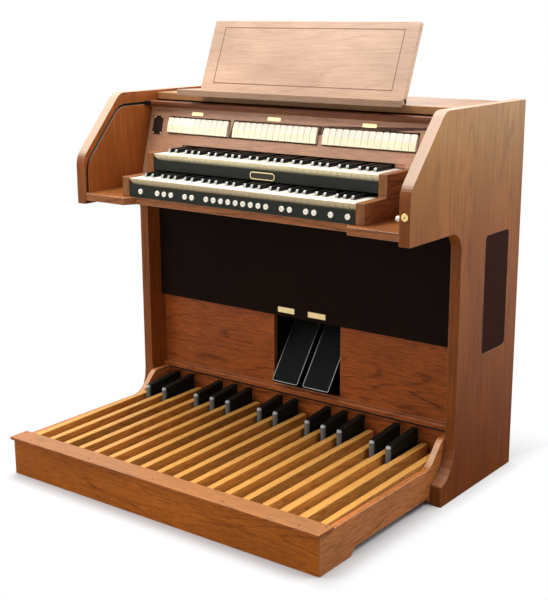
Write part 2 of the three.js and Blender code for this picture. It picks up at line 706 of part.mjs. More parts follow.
// Roll-top: a slatted board that slides in the cheeks' grooves, behind its front rail
const rollFront = topFront - rollAdvance;
piece(cabinet, "roll_top", join(
  block([-pieceHalf + fit, pieceHalf - fit], [rollFront, rollFront + rollRailDepth],
    [rollRailFoot, rollRailTop]),
  block([-innerHalf - rollTongue, innerHalf + rollTongue],
    [rollFront + rollRailDepth / 2, -grooveRearInset - rollRearRoom],
    [grooveLevel - rollSlat / 2, grooveLevel + rollSlat / 2])), "wood");

// Music desk: a board that leans back on a ledge
const deskTilt = deskLean * degree;
const deskUp = [Math.sin(deskTilt), Math.cos(deskTilt)];
const deskBack = deskThickness / Math.cos(deskTilt);
const ledgeUnder = topSurface + fit;
const deskRise = deskHeight * deskUp[1];
const deskSide = shapeOf([
  [-deskFoot, ledgeUnder], [-deskFoot + deskBack, ledgeUnder],
  [-deskFoot + deskHeight * deskUp[0] + deskThickness * deskUp[1],
    ledgeUnder + deskRise - deskThickness * deskUp[0]],
  [-deskFoot + deskHeight * deskUp[0], ledgeUnder + deskRise]]);
const ledgeHalf = [[ledgeWidth / 2, -deskFoot - ledgeReach], [deskWidth / 2, -deskFoot],
  [deskWidth / 2, -deskFoot + deskBack + overrun]];
const ledge = shapeOf([...ledgeHalf, ...ledgeHalf.map(([x, y]) => [-x, y]).reverse()]);
const heelHalf = deskWidth / 2 - heelInset;
piece(cabinet, "music_desk", join(prism(ledge, "z", ledgeUnder, ledgeUnder + ledgeThickness),
  prism(deskSide, "x", -deskWidth / 2, deskWidth / 2),
  block([-heelHalf, heelHalf], [-deskFoot + overrun, -deskFoot + deskBack + heelDepth],
    [ledgeUnder, ledgeUnder + ledgeThickness])), "desk");

// Well for the expression pedals: a box open to the front, crossed by their axle
const wellRear = kickRear + fit + wellDepth;
const wellOuter = block([wellLeft - wellWall, wellRight + wellWall], [kickRear + fit, wellRear],
  [sill - wellWall, wellTop + wellWall]);
const wellHollow = block([wellLeft, wellRight], [kickRear - overrun, wellRear - wellWall],
  [sill, wellTop]);
const axle = new THREE.CylinderGeometry(axleRadius, axleRadius, wellRight - wellLeft + wellWall,
  roundSides);
axle.rotateZ(Math.PI / 2).translate(wellOffset, ...shoePivot);
piece(swell, "expression_well", cut(wellOuter, wellHollow).add(solid(axle)), "black");

// Expression pedals: a sloping tread on a lug that turns on the axle
const shoePoint = (along, behind) => [0, 1].map((k) => heel[k] + along * shoeAlong[k]
  + behind * shoeBehind[k]);
const tread = shapeOf([shoePoint(0, 0), shoePoint(shoeLength, 0),
  shoePoint(shoeLength, shoeThickness), shoePoint(0, shoeThickness)]);
const lugSpread = 2 * shoeLugRadius;
const lug = shapeOf([
  shoePoint(shoePivotAlong - lugSpread, shoeThickness / 2),
  shoePoint(shoePivotAlong + lugSpread, shoeThickness / 2),
  shoePoint(shoePivotAlong + shoeLugRadius / 2, shoePivotBehind + shoeLugRadius),
  shoePoint(shoePivotAlong - shoeLugRadius / 2, shoePivotBehind + shoeLugRadius)]);
[["left", -1], ["right", 1]].forEach(([name, side]) => {
  const middle = wellOffset + side * (shoeWidth + shoeGap) / 2;
  const bore = new THREE.CylinderGeometry(axleRadius + axleClearance, axleRadius + axleClearance,
    shoeWidth, roundSides);
  bore.rotateZ(Math.PI / 2).translate(middle, ...shoePivot);
  const shoe = join(prism(tread, "x", middle - shoeWidth / 2, middle + shoeWidth / 2),
    prism(lug, "x", middle - shoeLugWidth / 2, middle + shoeLugWidth / 2));
  piece(swell, `expression_pedal_${name}`, cut(shoe, bore), "black");
});

// Pedalboard frame: side rails, fascia with its cap, hinge rail, floor, stop batten and back
function boardRailShape() {
  const shape = new THREE.Shape();
  const rear = kickFront + boardBack;
  const earFront = rear - boardEarDepth - boardBack;
  shape.moveTo(fasciaFront, 0);
  shape.lineTo(fasciaFront + boardFootLength, 0);
  shape.bezierCurveTo(fasciaFront + boardFootLength + boardArchRun / 2, 0,
    fasciaFront + boardFootLength + boardArchRun / 2, boardArch,
    fasciaFront + boardFootLength + boardArchRun, boardArch);
  shape.lineTo(rear - boardRearFoot - boardArchRun, boardArch);
  shape.bezierCurveTo(rear - boardRearFoot - boardArchRun / 2, boardArch,
    rear - boardRearFoot - boardArchRun / 2, 0, rear - boardRearFoot, 0);
  shape.lineTo(rear, 0);
  shape.lineTo(rear, boardBackHeight);
  shape.lineTo(earFront, boardBackHeight);
  shape.bezierCurveTo(earFront - earRoundShare * boardEarRun, boardBackHeight,
    earFront - earHollowShare * boardEarRun, capUnder, earFront - boardEarRun, capUnder);
  shape.lineTo(fasciaFront, capUnder);
  return shape;
}
const boardOuter = boardWidth / 2;
const across = [-boardInner / 2 - boardRail / 2, boardInner / 2 + boardRail / 2];
const stopRailTop = pedalFoot + pedalRise - stopBattenDrop;
piece(pedalboard, "pedalboard_frame", join(
  prism(boardRailShape(), "x", -boardOuter, -boardOuter + boardRail),
  prism(boardRailShape(), "x", boardOuter - boardRail, boardOuter),
  block([-boardOuter, boardOuter], [fasciaFront, fasciaRear], [0, capUnder + overrun]),
  block([-boardOuter - boardCapSideOverhang, boardOuter + boardCapSideOverhang],
    [capFront, capRear], [capUnder, capTop]),
  block(across, [fasciaRear - overrun, hingeLine], [boardFloorGap, pedalFoot - fit]),
  block(across, [fasciaRear - overrun, kickFront + overrun], [boardFloorGap, boardFloorTop]),
  block(across, [pedalRear - stopBatten - overrun, pedalRear - overrun],
    [boardFloorGap, stopRailTop]),
  block([-boardOuter, boardOuter], [kickFront, kickFront + boardBack],
    [boardFloorGap, boardBackHeight])), "wood");

// Pedals, hinged at the front under the cap; Y is measured from the cabinet's back
const pedalRearFoot = pedalFoot + pedalRise;
function longPedalShape() {
  return shapeOf([
    [hingeLine - boardHingeRail + fit, pedalFoot], [hingeLine, pedalFoot],
    [pedalRear, pedalRearFoot], [pedalRear, pedalRearFoot + pedalHeight],
    [pedalFront, pedalTop], [pedalFront, pedalFoot + tongueHeight],
    [hingeLine - boardHingeRail + fit, pedalFoot + tongueHeight]]);
}
function blackPedalShape(capLength) {
  const rear = pedalRear - blackPedalShort;
  const front = rear - capLength;
  const capZ = pedalTop + blackCapRise;
  const climb = pedalRise * (front - hingeLine) / (rear - hingeLine);
  const shape = new THREE.Shape();
  shape.moveTo(hingeLine - boardHingeRail + fit, pedalFoot);
  shape.lineTo(hingeLine, pedalFoot);
  shape.lineTo(rear, pedalRearFoot);
  shape.lineTo(rear, capZ + blackCapSlope);
  shape.lineTo(front + blackCapRound, capZ);
  shape.quadraticCurveTo(front, capZ, front, capZ - blackCapRound);
  shape.lineTo(front, pedalFoot + climb + blackStickHeight);
  shape.lineTo(hingeLine - boardHingeRail + fit, pedalFoot + blackStickHeight);
  return shape;
}
const letters = ["c", "d", "e", "f", "g", "a", "b"];
const sharpLetters = ["c", "d", "f", "g", "a"];
const firstOctave = 2;
const middlePedal = (longPedals - 1) / 2;
const blackMiddle = middlePedal - 1 / 2;
for (let n = 0; n < longPedals; n += 1) {
  const letter = letters[n % octaveNaturals];
  const octave = firstOctave + Math.floor(n / octaveNaturals);
  const long = piece(pedalboard, `pedal_${letter}${octave}`,
    prism(longPedalShape(), "x", -pedalWidth / 2, pedalWidth / 2), "oak");
  long.position.x = (n - middlePedal) * pedalPitch;
  if (sharpLetters.includes(letter) && n < longPedals - 1) {
    const outward = (n + 1 / 2 - blackMiddle) / (blackMiddle - 1 / 2);
    const capLength = blackCapLength + blackCapArc * outward * outward;
    const black = piece(pedalboard, `pedal_${letter}_sharp${octave}`,
      prism(blackPedalShape(capLength), "x", -pedalWidth / 2, pedalWidth / 2), "black");
    black.position.x = (n + 1 / 2 - middlePedal) * pedalPitch;
  }
}

group.position.y = -capFront / 2;

export default group;
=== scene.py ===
"""Looks of a two-manual electronic organ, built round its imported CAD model, for Blender 4.5.

Sizes are in millimetres and places are those of the part's source: x to the player's right,
y from the cabinet's back face with the front negative, z up from the floor. Meshes are
written that way and turned to the frame's metres as they are made.
"""

import math

import bmesh
import bpy
from mathutils import Matrix, Vector


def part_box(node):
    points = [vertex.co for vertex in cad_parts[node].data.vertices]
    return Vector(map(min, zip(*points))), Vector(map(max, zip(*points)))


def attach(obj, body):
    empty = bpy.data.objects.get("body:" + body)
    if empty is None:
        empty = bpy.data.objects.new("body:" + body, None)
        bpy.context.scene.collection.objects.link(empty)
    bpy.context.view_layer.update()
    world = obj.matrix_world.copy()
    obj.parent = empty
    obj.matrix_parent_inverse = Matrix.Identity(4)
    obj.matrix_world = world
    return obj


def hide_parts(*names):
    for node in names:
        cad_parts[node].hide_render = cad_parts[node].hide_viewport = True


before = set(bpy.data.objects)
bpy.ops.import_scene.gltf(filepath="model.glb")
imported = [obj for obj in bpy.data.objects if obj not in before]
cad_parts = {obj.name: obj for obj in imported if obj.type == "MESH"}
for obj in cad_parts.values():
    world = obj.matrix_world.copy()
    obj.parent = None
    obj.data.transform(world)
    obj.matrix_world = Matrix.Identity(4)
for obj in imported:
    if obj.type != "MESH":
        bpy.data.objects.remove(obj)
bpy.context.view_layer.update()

MM = 0.001
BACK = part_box("back_panel")[1][1]
TO_FRAME = Matrix.Translation((0, BACK, 0)) @ Matrix.Scale(MM, 4)
BOTH = ((-1, "left"), (1, "right"))

# Sizes shared with the part's source
INNER_HALF = 586
FASCIA_FRONT, FASCIA_REAR = -1004, -982
CAP_FRONT, CAP_REAR, CAP_UNDER, CAP_TOP = -1014.5, -946.5, 113.3, 122.7
BOARD_HALF, BOARD_RAIL, BOARD_CAP_HALF, BOARD_TOP = 583, 20, 588.5, 182.7
KICK_FRONT, BOARD_REAR = -290, -270
PEDAL_REAR, PEDAL_FOOT, PEDAL_RISE, PEDAL_HINGE = -306, 75, 11, -965
PEDAL_PITCH, PEDAL_WIDTH, PEDAL_THICK = 64.5, 22, 20
KEY_BED_TOP = 842
LOWER_FRONT, LOWER_TOP = -616.2, 900.4
UPPER_FRONT, UPPER_TOP = -502.4, 965.6
NATURAL_PITCH, NATURALS = 165 / 7, 36
STOP_LEAN = 15.6
STOP_MIDDLE = 1040.1
STOP_FACE = -360.4 + (STOP_MIDDLE - 982.1) * math.tan(math.radians(STOP_LEAN))
ROLL_FRONT, ROLL_FOOT, ROLL_TOP, ROLL_LEVEL = -352, 1097.1, 1118.1, 1109.6
DESK_FOOT, DESK_SEAT, DESK_LEAN = -316.5, 1142.6, 21.8

# Camera at the photograph's viewpoint. The photo's size, focal length and centre are in pixels,
# the turns in radians, the eye's place in metres and the sensor's width in millimetres.
PHOTO_WIDE, PHOTO_TALL = 548, 600
FOCAL, CENTRE = 1163.48, (278.46, 297.90)
TURNS = (0.64754, -0.24494, -0.00375)
EYE = (2.14057, -3.23278, 1.41888)
SENSOR = 36


def set_camera():
    yaw, pitch, roll = TURNS
    forward = Vector((-math.sin(yaw) * math.cos(pitch), math.cos(yaw) * math.cos(pitch), math.sin(pitch)))
    level = Vector((math.cos(yaw), math.sin(yaw), 0))
    upward = level.cross(forward)
    right = math.cos(roll) * level + math.sin(roll) * upward
    up = right.cross(forward)
    lens = bpy.data.cameras.new("photo_camera")
    lens.sensor_width = SENSOR
    lens.lens = SENSOR * FOCAL / PHOTO_TALL
    lens.shift_x = -(CENTRE[0] - PHOTO_WIDE / 2) / PHOTO_TALL
    lens.shift_y = -(PHOTO_TALL / 2 - CENTRE[1]) / PHOTO_TALL
    camera = bpy.data.objects.new("photo_camera", lens)
    turn = Matrix((right, up, -forward)).transposed().to_4x4()
    camera.matrix_world = Matrix.Translation((EYE[0], EYE[1] + BACK, EYE[2])) @ turn
    bpy.context.scene.collection.objects.link(camera)
    bpy.context.scene.camera = camera


set_camera()


# Materials
def linear(shade):
    """An sRGB hex colour as linear red, green, blue and alpha."""
    parts = [int(shade[k:k + 2], 16) / 255 for k in (1, 3, 5)]
    return [c / 12.92 if c <= 0.04045 else ((c + 0.055) / 1.055) ** 2.4 for c in parts] + [1]


def brighter(shade, factor):
    return [c * factor for c in linear(shade)[:3]] + [1]


def add(tree, kind, inputs=None, **settings):
    """Adds a node. A node or socket given as an input is linked, anything else is its value."""
    node = tree.nodes.new(kind)
    for key, value in settings.items():
        setattr(node, key, value)
    for key, value in (inputs or {}).items():
        if isinstance(value, bpy.types.Node):
            value = value.outputs[0]
        if isinstance(value, bpy.types.NodeSocket):
            tree.links.new(value, node.inputs[key])
        else:
            node.inputs[key].default_value = value
    return node


def maths(tree, operation, *values, clamp=False):
    return add(tree, "ShaderNodeMath", dict(enumerate(values)), operation=operation, use_clamp=clamp)


def axis_of(tree, vector, axis):
    return add(tree, "ShaderNodeSeparateXYZ", {"Vector": vector}).outputs["xyz".index(axis)]


def noise(tree, vector, scale, detail, roughness=0.5):
    return add(tree, "ShaderNodeTexNoise", {"Vector": vector, "Scale": scale, "Detail": detail,
                                            "Roughness": roughness})


def spread(tree, value, from_low, from_high, to_low=0.0, to_high=1.0):
    """A value stretched from one range to another, and held inside it."""
    return add(tree, "ShaderNodeMapRange", {"Value": value, "From Min": from_low, "From Max": from_high,
                                            "To Min": to_low, "To Max": to_high})


def blend(tree, share, first, second, mode="MIX"):
    """A colour between two, each a linear colour or a node."""
    return add(tree, "ShaderNodeMix", {0: share, 6: first, 7: second}, data_type="RGBA",
               blend_type=mode).outputs[2]


def pick(tree, share, first, second):
    """The same for plain values."""
    return add(tree, "ShaderNodeMix", {0: share, 2: first, 3: second}, data_type="FLOAT")


def start(name):
    """An empty material, its tree and the place of a point on the piece at rest."""
    material = bpy.data.materials.new(name)
    material.use_nodes = True
    material.node_tree.nodes.clear()
    return material, material.node_tree, add(material.node_tree, "ShaderNodeTexCoord")


def close(tree, inputs):
    """Ends a material with its surface shader."""
    shader = add(tree, "ShaderNodeBsdfPrincipled", inputs)
    add(tree, "ShaderNodeOutputMaterial", {"Surface": shader})


def edge_mask(tree, radius):
    """1 along the edges and 0 on the flats: where the painted highlight, with some wear, goes."""
    soft = add(tree, "ShaderNodeBevel", {"Radius": radius}, samples=3)
    flat = add(tree, "ShaderNodeNewGeometry")
    facing = add(tree, "ShaderNodeVectorMath", {0: soft, 1: flat.outputs["Normal"]},
                 operation="DOT_PRODUCT")
    return spread(tree, facing.outputs["Value"], 0.995, 0.9)


# Width and length in metres of what the grain is made of, and the pitch of a weave
THREAD_WIDTH = 0.0026
PORE = (0.002, 0.022)
RING_HILL, RINGS_ON_HILL = (0.095, 0.95), 30
RING_ZONE = (0.16, 0.7)
STAIN_PATCH = (0.14, 0.3)
PALE_EDGE_RADIUS = 0.0022
WEAVE_PITCH = 0.002
# Heights in metres of the right side's three tints of painted light and shade
TINT_HEIGHT_LOW, TINT_HEIGHT_MIDDLE, TINT_HEIGHT_HIGH = 0.1, 0.75, 1.1


def lacquered_wood(name, pale, deep, highlight_wear_colour, run, edges=None, rough=0.4, figure=0.5, fibre=0.75,
                   highlight_and_wear=0.25, upward_sheen_and_wear=(0, 0), sheen=0.16, edging=1.0, streak=0.042, sheen_from_height=None,
                   painted_tint=None):
    """Veneer or solid wood under satin lacquer.

    run is the direction of the grain: the pattern is long that way and narrow across it.
    edges is (axis, limit, direction): faces that look along axis by more than limit take
    the other direction, as an edging strip or the side of a board does. Real pores are
    0.3 mm wide and would not show, so the finest streaks are drawn 2 mm wide. figure is how
    dark the growth rings are, and fibre the threads. highlight_wear_colour is a pale colour
    for a painted highlight where light catches the lacquer, partly wear by hands and shoes:
    highlight_and_wear is its share along edges, upward_sheen_and_wear its shares on slopes and
    on level faces that look up, which fade to a third below the height sheen_from_height, in
    metres. streak is the length of the threads in metres. sheen is how strongly the lacquer
    mirrors. edging darkens faces that look forward or back by that factor, painted shade on
    the front edges. painted_tint is a tint of painted light and shade on faces that look to
    the right, at the floor, at mid-height and at the top: darker and redder low down, painted
    shade, and paler and whiter at the top, a painted reflection.
    """
    material, tree, place = start(name)
    spot, normal = place.outputs["Object"], place.outputs["Normal"]
    runs = [run]
    if edges:
        runs.append(edges[2])
        size = maths(tree, "ABSOLUTE", axis_of(tree, normal, edges[0]))
        other = maths(tree, "GREATER_THAN", size, edges[1])

    def stretched(across, along):
        """Places in streaks: across and along are a streak's width and length in metres."""
        ways = [add(tree, "ShaderNodeMapping", {"Vector": spot, "Scale": [
            1 / along if axis in way else 1 / across for axis in "xyz"]}) for way in runs]
        if not edges:
            return ways[0]
        return add(tree, "ShaderNodeMix", {0: other, 4: ways[0], 5: ways[1]},
                   data_type="VECTOR").outputs[1]

    threads = noise(tree, stretched(THREAD_WIDTH, streak), 1, 3, 0.65)
    strands = spread(tree, threads, 0.36, 0.66, 0, fibre)
    pores = noise(tree, stretched(*PORE), 1, 1)
    dashes = spread(tree, pores, 0.56, 0.72, 0, 0.28)
    # Growth rings: lines of equal height on a stretched noise, which close into long arches.
    # They show in some areas and fade in others.
    hills = noise(tree, stretched(*RING_HILL), 1, 1.2, 0.35)
    rings = maths(tree, "PINGPONG", maths(tree, "MULTIPLY_ADD", hills, RINGS_ON_HILL, threads), 1)
    zone = spread(tree, noise(tree, stretched(*RING_ZONE), 1, 1), 0.42, 0.56, 0.06, figure)
    late = maths(tree, "MULTIPLY", spread(tree, rings, 0.74, 0.96), zone)
    dark = maths(tree, "ADD", maths(tree, "ADD", late, strands), dashes, clamp=True)
    # The stain took unevenly, in slow patches a hand's breadth across
    patch = spread(tree, noise(tree, stretched(*STAIN_PATCH), 1, 2, 0.55), 0.32, 0.68)
    low = blend(tree, patch, brighter(pale, 0.86), brighter(pale, 1.1))
    high = blend(tree, patch, brighter(deep, 0.82), brighter(deep, 1.12))
    wood = blend(tree, dark, low, high)
    # Faces that look forward or back are darkened: painted shade
    if edging < 1:
        forward = maths(tree, "ABSOLUTE", axis_of(tree, normal, "y"))
        wood = blend(tree, spread(tree, forward, 0.7, 0.9), wood, [edging] * 3 + [1], "MULTIPLY")
    # Painted light and shade, by height, on faces that look to the right
    if painted_tint:
        height = axis_of(tree, spot, "z")
        tint = blend(tree, spread(tree, height, TINT_HEIGHT_LOW, TINT_HEIGHT_MIDDLE), painted_tint[0], painted_tint[1])
        tint = blend(tree, spread(tree, height, TINT_HEIGHT_MIDDLE, TINT_HEIGHT_HIGH), tint, painted_tint[2])
        outside = spread(tree, axis_of(tree, normal, "x"), 0.7, 0.9)
        wood = blend(tree, outside, wood, tint, "MULTIPLY")
    # Pale colour along edges and on faces that look up: a painted highlight, partly wear
    pale_share = maths(tree, "MULTIPLY", edge_mask(tree, PALE_EDGE_RADIUS), highlight_and_wear)
    if max(upward_sheen_and_wear):
        upward = axis_of(tree, normal, "z")
        slopes = spread(tree, upward, 0.35, 0.65, 0, upward_sheen_and_wear[0])
        level = spread(tree, upward, 0.88, 0.97, 0, upward_sheen_and_wear[1] - upward_sheen_and_wear[0])
        top = maths(tree, "ADD", slopes, level)
        if sheen_from_height:
            share = spread(tree, axis_of(tree, spot, "z"), sheen_from_height - 0.2, sheen_from_height, 0.3)
            top = maths(tree, "MULTIPLY", top, share)
        pale_share = maths(tree, "MAXIMUM", pale_share, top)
    gloss = spread(tree, threads, 0.3, 0.7, rough - 0.05, rough + 0.07)
    bump = add(tree, "ShaderNodeBump", {"Height": dark, "Strength": 0.2, "Distance": 0.0004}, invert=True)
    close(tree, {"Base Color": blend(tree, pale_share, wood, linear(highlight_wear_colour)), "Roughness": gloss,
                 "Normal": bump, "IOR": 1.5, "Specular IOR Level": sheen})
    return material


def moulded(name, shade, rough, grain=0.35, coat=0.0, mottle=0.05, shine=0.5):
    """Moulded plastic or sprayed paint: an even colour, faint clouding and a fine pebbled skin."""
    material, tree, place = start(name)
    cloud = noise(tree, place.outputs["Object"], 28, 3)
    colour = blend(tree, spread(tree, cloud, 0.3, 0.7), brighter(shade, 1 - mottle),
                   brighter(shade, 1 + mottle))
    pebbles = noise(tree, place.outputs["Object"], 1 / 0.0012, 2)
    bump = add(tree, "ShaderNodeBump", {"Height": pebbles, "Strength": grain, "Distance": 0.00008})
    gloss = spread(tree, cloud, 0.3, 0.7, rough - 0.04, rough + 0.05)
    close(tree, {"Base Color": colour, "Roughness": gloss, "Normal": bump, "IOR": 1.49,
                 "Specular IOR Level": shine, "Coat Weight": coat, "Coat Roughness": 0.12})
    return material


def metal(name, shade, rough, brushed, wear):
    """Brass, steel or aluminium, with fine brushing along x and dulled patches."""
    material, tree, place = start(name)
    lines = add(tree, "ShaderNodeMapping", {"Vector": place.outputs["Object"],
                                            "Scale": (1 / 0.03, 1 / 0.0006, 1 / 0.0006)})
    strokes = noise(tree, lines, 1, 2)
    dull = noise(tree, place.outputs["Object"], 90, 3)
    colour = blend(tree, spread(tree, dull, 0.35, 0.7), linear(shade), brighter(shade, 1 - wear))
    gloss = spread(tree, strokes, 0.25, 0.75, rough - 0.06, rough + 0.1)
    bump = add(tree, "ShaderNodeBump", {"Height": strokes, "Strength": brushed, "Distance": 0.00005})
    close(tree, {"Base Color": colour, "Metallic": 1.0, "Roughness": gloss, "Normal": bump})
    return material


def woven(name, thread, shadow):
    """Loudspeaker cloth or felt: a plain weave, drawn wider than the real 0.5 mm so that it shows."""
    material, tree, place = start(name)
    spot = place.outputs["Object"]

    def rows(value):
        return maths(tree, "SINE", maths(tree, "MULTIPLY", value, math.tau / WEAVE_PITCH))

    level = maths(tree, "ADD", axis_of(tree, spot, "x"), axis_of(tree, spot, "y"))
    height = spread(tree, maths(tree, "MULTIPLY", rows(level), rows(axis_of(tree, spot, "z"))), -1, 1)
    share = maths(tree, "MULTIPLY", height, noise(tree, spot, 9, 4, 0.6))
    bump = add(tree, "ShaderNodeBump", {"Height": height, "Strength": 0.5, "Distance": 0.0004})
    close(tree, {"Base Color": blend(tree, share, linear(shadow), linear(thread)), "Roughness": 0.95,
                 "Normal": bump, "Specular IOR Level": 0.1})
    return material


# Oak veneer, walnut stain, satin lacquer: streaks run up the side panels, and along their edging.
# Faces that look forward or back are darker, painted shade, and slopes and tops are paler, a
# painted highlight with some wear, which fades below 0.8 m
UPRIGHT = dict(pale="#a35a27", deep="#6a3612", highlight_wear_colour="#c6b5a0", run="z", edges=("z", 0.3, "yz"),
               figure=0.3, fibre=0.6, upward_sheen_and_wear=(0.6, 0.5), edging=0.7, streak=0.14, sheen_from_height=0.8)
SIDE_OAK = lacquered_wood("stained_oak_veneer_upright", sheen=0.14, **UPRIGHT)
# The same on the right, where the outside carries painted light and shade: paler and whiter
# towards the top, a painted reflection, and darker and redder near the floor, painted shade
RIGHT_OAK_PAINTED_LIGHT = lacquered_wood("stained_oak_veneer_faded", sheen=0.12, painted_tint=(
    [0.7, 0.56, 0.2, 1], [0.88, 0.92, 0.82, 1], [1.05, 1.7, 1.95, 1]), **UPRIGHT)
# The same veneer laid sideways on the long boards; board ends show it running back
LENGTHWISE = dict(run="x", edges=("x", 0.7, "y"))
# Long boards: pale edges, a painted highlight with some wear
LONG_OAK = lacquered_wood("stained_oak_veneer_level", "#aa5a28", "#6c3515", "#dcb48c", **LENGTHWISE,
                          highlight_and_wear=0.6)
# Key bed: its edges are pale, a painted highlight with some wear from hands
BED_OAK = lacquered_wood("stained_oak_veneer_key_bed", "#a06030", "#643819", "#ecd2b4", **LENGTHWISE,
                         highlight_and_wear=0.75, sheen=0.22)
# Top of the cabinet: browner than the other boards, in part a painted sheen
TOP_OAK = lacquered_wood("faded_oak_veneer_on_top", "#a37446", "#6a4526", "#b8997a", **LENGTHWISE,
                         figure=0.3, fibre=0.6, sheen=0.2)
# Cap that shoes slide over, paler on top and on its slopes: a painted highlight, partly wear from shoes
CAP_SHEEN_AND_WEAR_OAK = lacquered_wood("stained_oak_veneer_rubbed_on_top", "#b06024", "#6e3711", "#d3a676",
                          **LENGTHWISE, upward_sheen_and_wear=(0.3, 0.3))
# Front board of the pedalboard, stained a little lighter
FASCIA_OAK = lacquered_wood("stained_oak_veneer_fascia", "#b8651f", "#773b11", "#cf9e70", **LENGTHWISE,
                            figure=0.4, fibre=0.7, sheen=0.12)
# Panel behind the stops: paler and duller, in part a painted reflection of the bright surroundings, under a
# glossier lacquer
STOP_OAK = lacquered_wood("pale_oak_panel_with_painted_sheen", "#bb8b6c", "#8f6449", "#d9b9a0", **LENGTHWISE,
                          figure=0.35, fibre=0.6, sheen=0.4)
# Front rail and slats of the roll-top: darker than the other boards
ROLL_OAK = lacquered_wood("darker_oak_slats", "#744226", "#4a2717", "#926848", **LENGTHWISE)
# Key blocks: brown stain, the grain runs back; their front ends show it upright
FRONT_TO_BACK = dict(run="y", edges=("y", 0.7, "z"))
BLOCK_OAK = lacquered_wood("brown_stained_oak_key_block", "#986238", "#5c371e", "#c09878",
                           **FRONT_TO_BACK, highlight_and_wear=0.35)
# Side rails of the pedalboard: the grain runs back too, and their sloping faces are paler, a painted
# highlight, partly wear from shoes
RAIL_OAK = lacquered_wood("stained_oak_rail", "#d38347", "#8e5024", "#e2c09c", **FRONT_TO_BACK,
                          upward_sheen_and_wear=(0.42, 0), sheen=0.3)
# The music desk was stained lighter and pinker, with a calmer grain
DESK_OAK = lacquered_wood("light_stained_oak_veneer", "#b99a83", "#9d7c64", "#c9aa94", **LENGTHWISE,
                          figure=0.3, fibre=0.5, streak=0.08)
# Its ledge is a darker board
LEDGE_OAK = lacquered_wood("light_stained_oak_ledge", "#a08068", "#7c604b", "#b5937a", **LENGTHWISE,
                           figure=0.3, fibre=0.6)
# Pedals: solid oak, clear satin lacquer, golden with darker flecks; their tops and edges are paler, a painted
# highlight with some wear from shoes
PEDAL_OAK = lacquered_wood("clear_lacquered_oak", "#d6984c", "#a0622a", "#efb25c", **FRONT_TO_BACK,
                           rough=0.36, figure=0.4, highlight_and_wear=0.4, upward_sheen_and_wear=(0.5, 0.5))
# Back of the cabinet: pressed board, not lacquered
HARDBOARD = lacquered_wood("raw_hardboard_back", "#8a6648", "#6d4c33", "#8a6648", "x", rough=0.75,
                           figure=0.05, fibre=0.5, highlight_and_wear=0.0)
# Beech caps sprayed black, satin
CAP_BLACK = moulded("satin_black_paint_on_beech", "#0b100c", 0.5, shine=0.15)
# Grey strip that noses each black pedal: moulded hard plastic, bright over its domed top, a painted highlight
NOSE_GREY = moulded("moulded_grey_plastic_nosing", "#5d6262", 0.3)
NOSE_HIGHLIGHT = moulded("rubbed_grey_plastic_nosing", "#a5a9a6", 0.25)
# Keys: moulded acrylic, glossy and slightly warm; their fronts are a deeper cream, drawn paler
# than the plastic to stand in for light they lack, a painted light. The lower keyboard's fronts
# are a shade darker: painted shade
KEY_IVORY = moulded("moulded_ivory_acrylic", "#f6eede", 0.22, grain=0.03, coat=0.3, mottle=0.01)
KEY_CREAM = moulded("moulded_cream_key_front", "#fff0c2", 0.3, grain=0.03, mottle=0.01)
SHADED_KEY_FRONT = moulded("moulded_key_front_in_painted_shade", "#ffe4b6", 0.3, grain=0.03, mottle=0.01)
# Short keys: moulded black plastic; the fronts of their ends are grey and bright, a painted reflection of the
# white keys before them
KEY_BLACK = moulded("moulded_black_key_plastic", "#0f100f", 0.38, grain=0.08, shine=0.2)
KEY_FRONT_REFLECTION = moulded("rubbed_black_key_front", "#85857d", 0.22, grain=0.05, coat=0.5)
# Rocker stops: the lower half, the one pressed, is a shade darker and yellower, painted shade
TAB_IVORY = moulded("moulded_stop_ivory", "#f5eedb", 0.3, grain=0.1, mottle=0.02)
TAB_SHADED = moulded("moulded_stop_in_painted_shade", "#f3e8c4", 0.3, grain=0.1, mottle=0.02)
# Boards round the keyboards, and the well: fibreboard sprayed black
BOARD_BLACK = moulded("satin_black_lacquer", "#1e201a", 0.45, shine=0.15)
WELL_BLACK = moulded("matt_black_lacquer", "#090b0a", 0.6, shine=0.1)
# Expression pedals: ribbed rubber on painted steel, with aluminium edging
RUBBER = moulded("moulded_black_rubber", "#090b09", 0.6, grain=0.6, shine=0.12)
EDGING = metal("brushed_aluminium_edging", "#959998", 0.3, 0.3, 0.15)
# Grey at the dimple in the middle of each piston
MARK_GREY = moulded("grey_piston_dimple", "#8e8678", 0.4)
# Fittings: screws, loudspeaker basket, lock, labels
SCREW_BRONZE = metal("bronzed_steel_screw", "#8a5f42", 0.4, 0.2, 0.25)
STEEL = metal("zinc_plated_steel", "#9a9da0", 0.38, 0.2, 0.25)
BRASS = metal("polished_brass", "#dcc07e", 0.32, 0.12, 0.15)
PLATE_BRASS = metal("satin_brass_label", "#f3dfa6", 0.4, 0.25, 0.08)
# Cloth in front of the loudspeakers; felt under the pedals
CLOTH = woven("woven_loudspeaker_cloth", "#2a1a14", "#130b08")
SIDE_CLOTH = woven("woven_side_grille_cloth", "#451f14", "#230f08")
FELT = woven("woven_green_felt", "#41573f", "#263624")
# Small plates and trim: moulded or enamelled
DARK_PLATE = moulded("moulded_dark_brown_plate", "#221613", 0.4, shine=0.3)
PLAQUE_BROWN = moulded("enamelled_brown_plaque", "#2a2013", 0.35, shine=0.3)
INLAY_BROWN = moulded("stained_inlay_line", "#6b4430", 0.5)
# Black for painted shade: the groove's bottom, the recesses of screws and the keyhole
SHADE_BLACK = moulded("black_for_painted_shade", "#1b100b", 0.6, shine=0.2)
BUFFER_WHITE = moulded("moulded_white_buffer", "#dccfc4", 0.4)


# Meshes: a part is a list of points, a list of faces and a finish number for each face
def joined(*parts):
    points, faces, marks = [], [], []
    for more, sides, finish in parts:
        faces += [[k + len(points) for k in side] for side in sides]
        points += more
        marks += finish
    return points, faces, marks


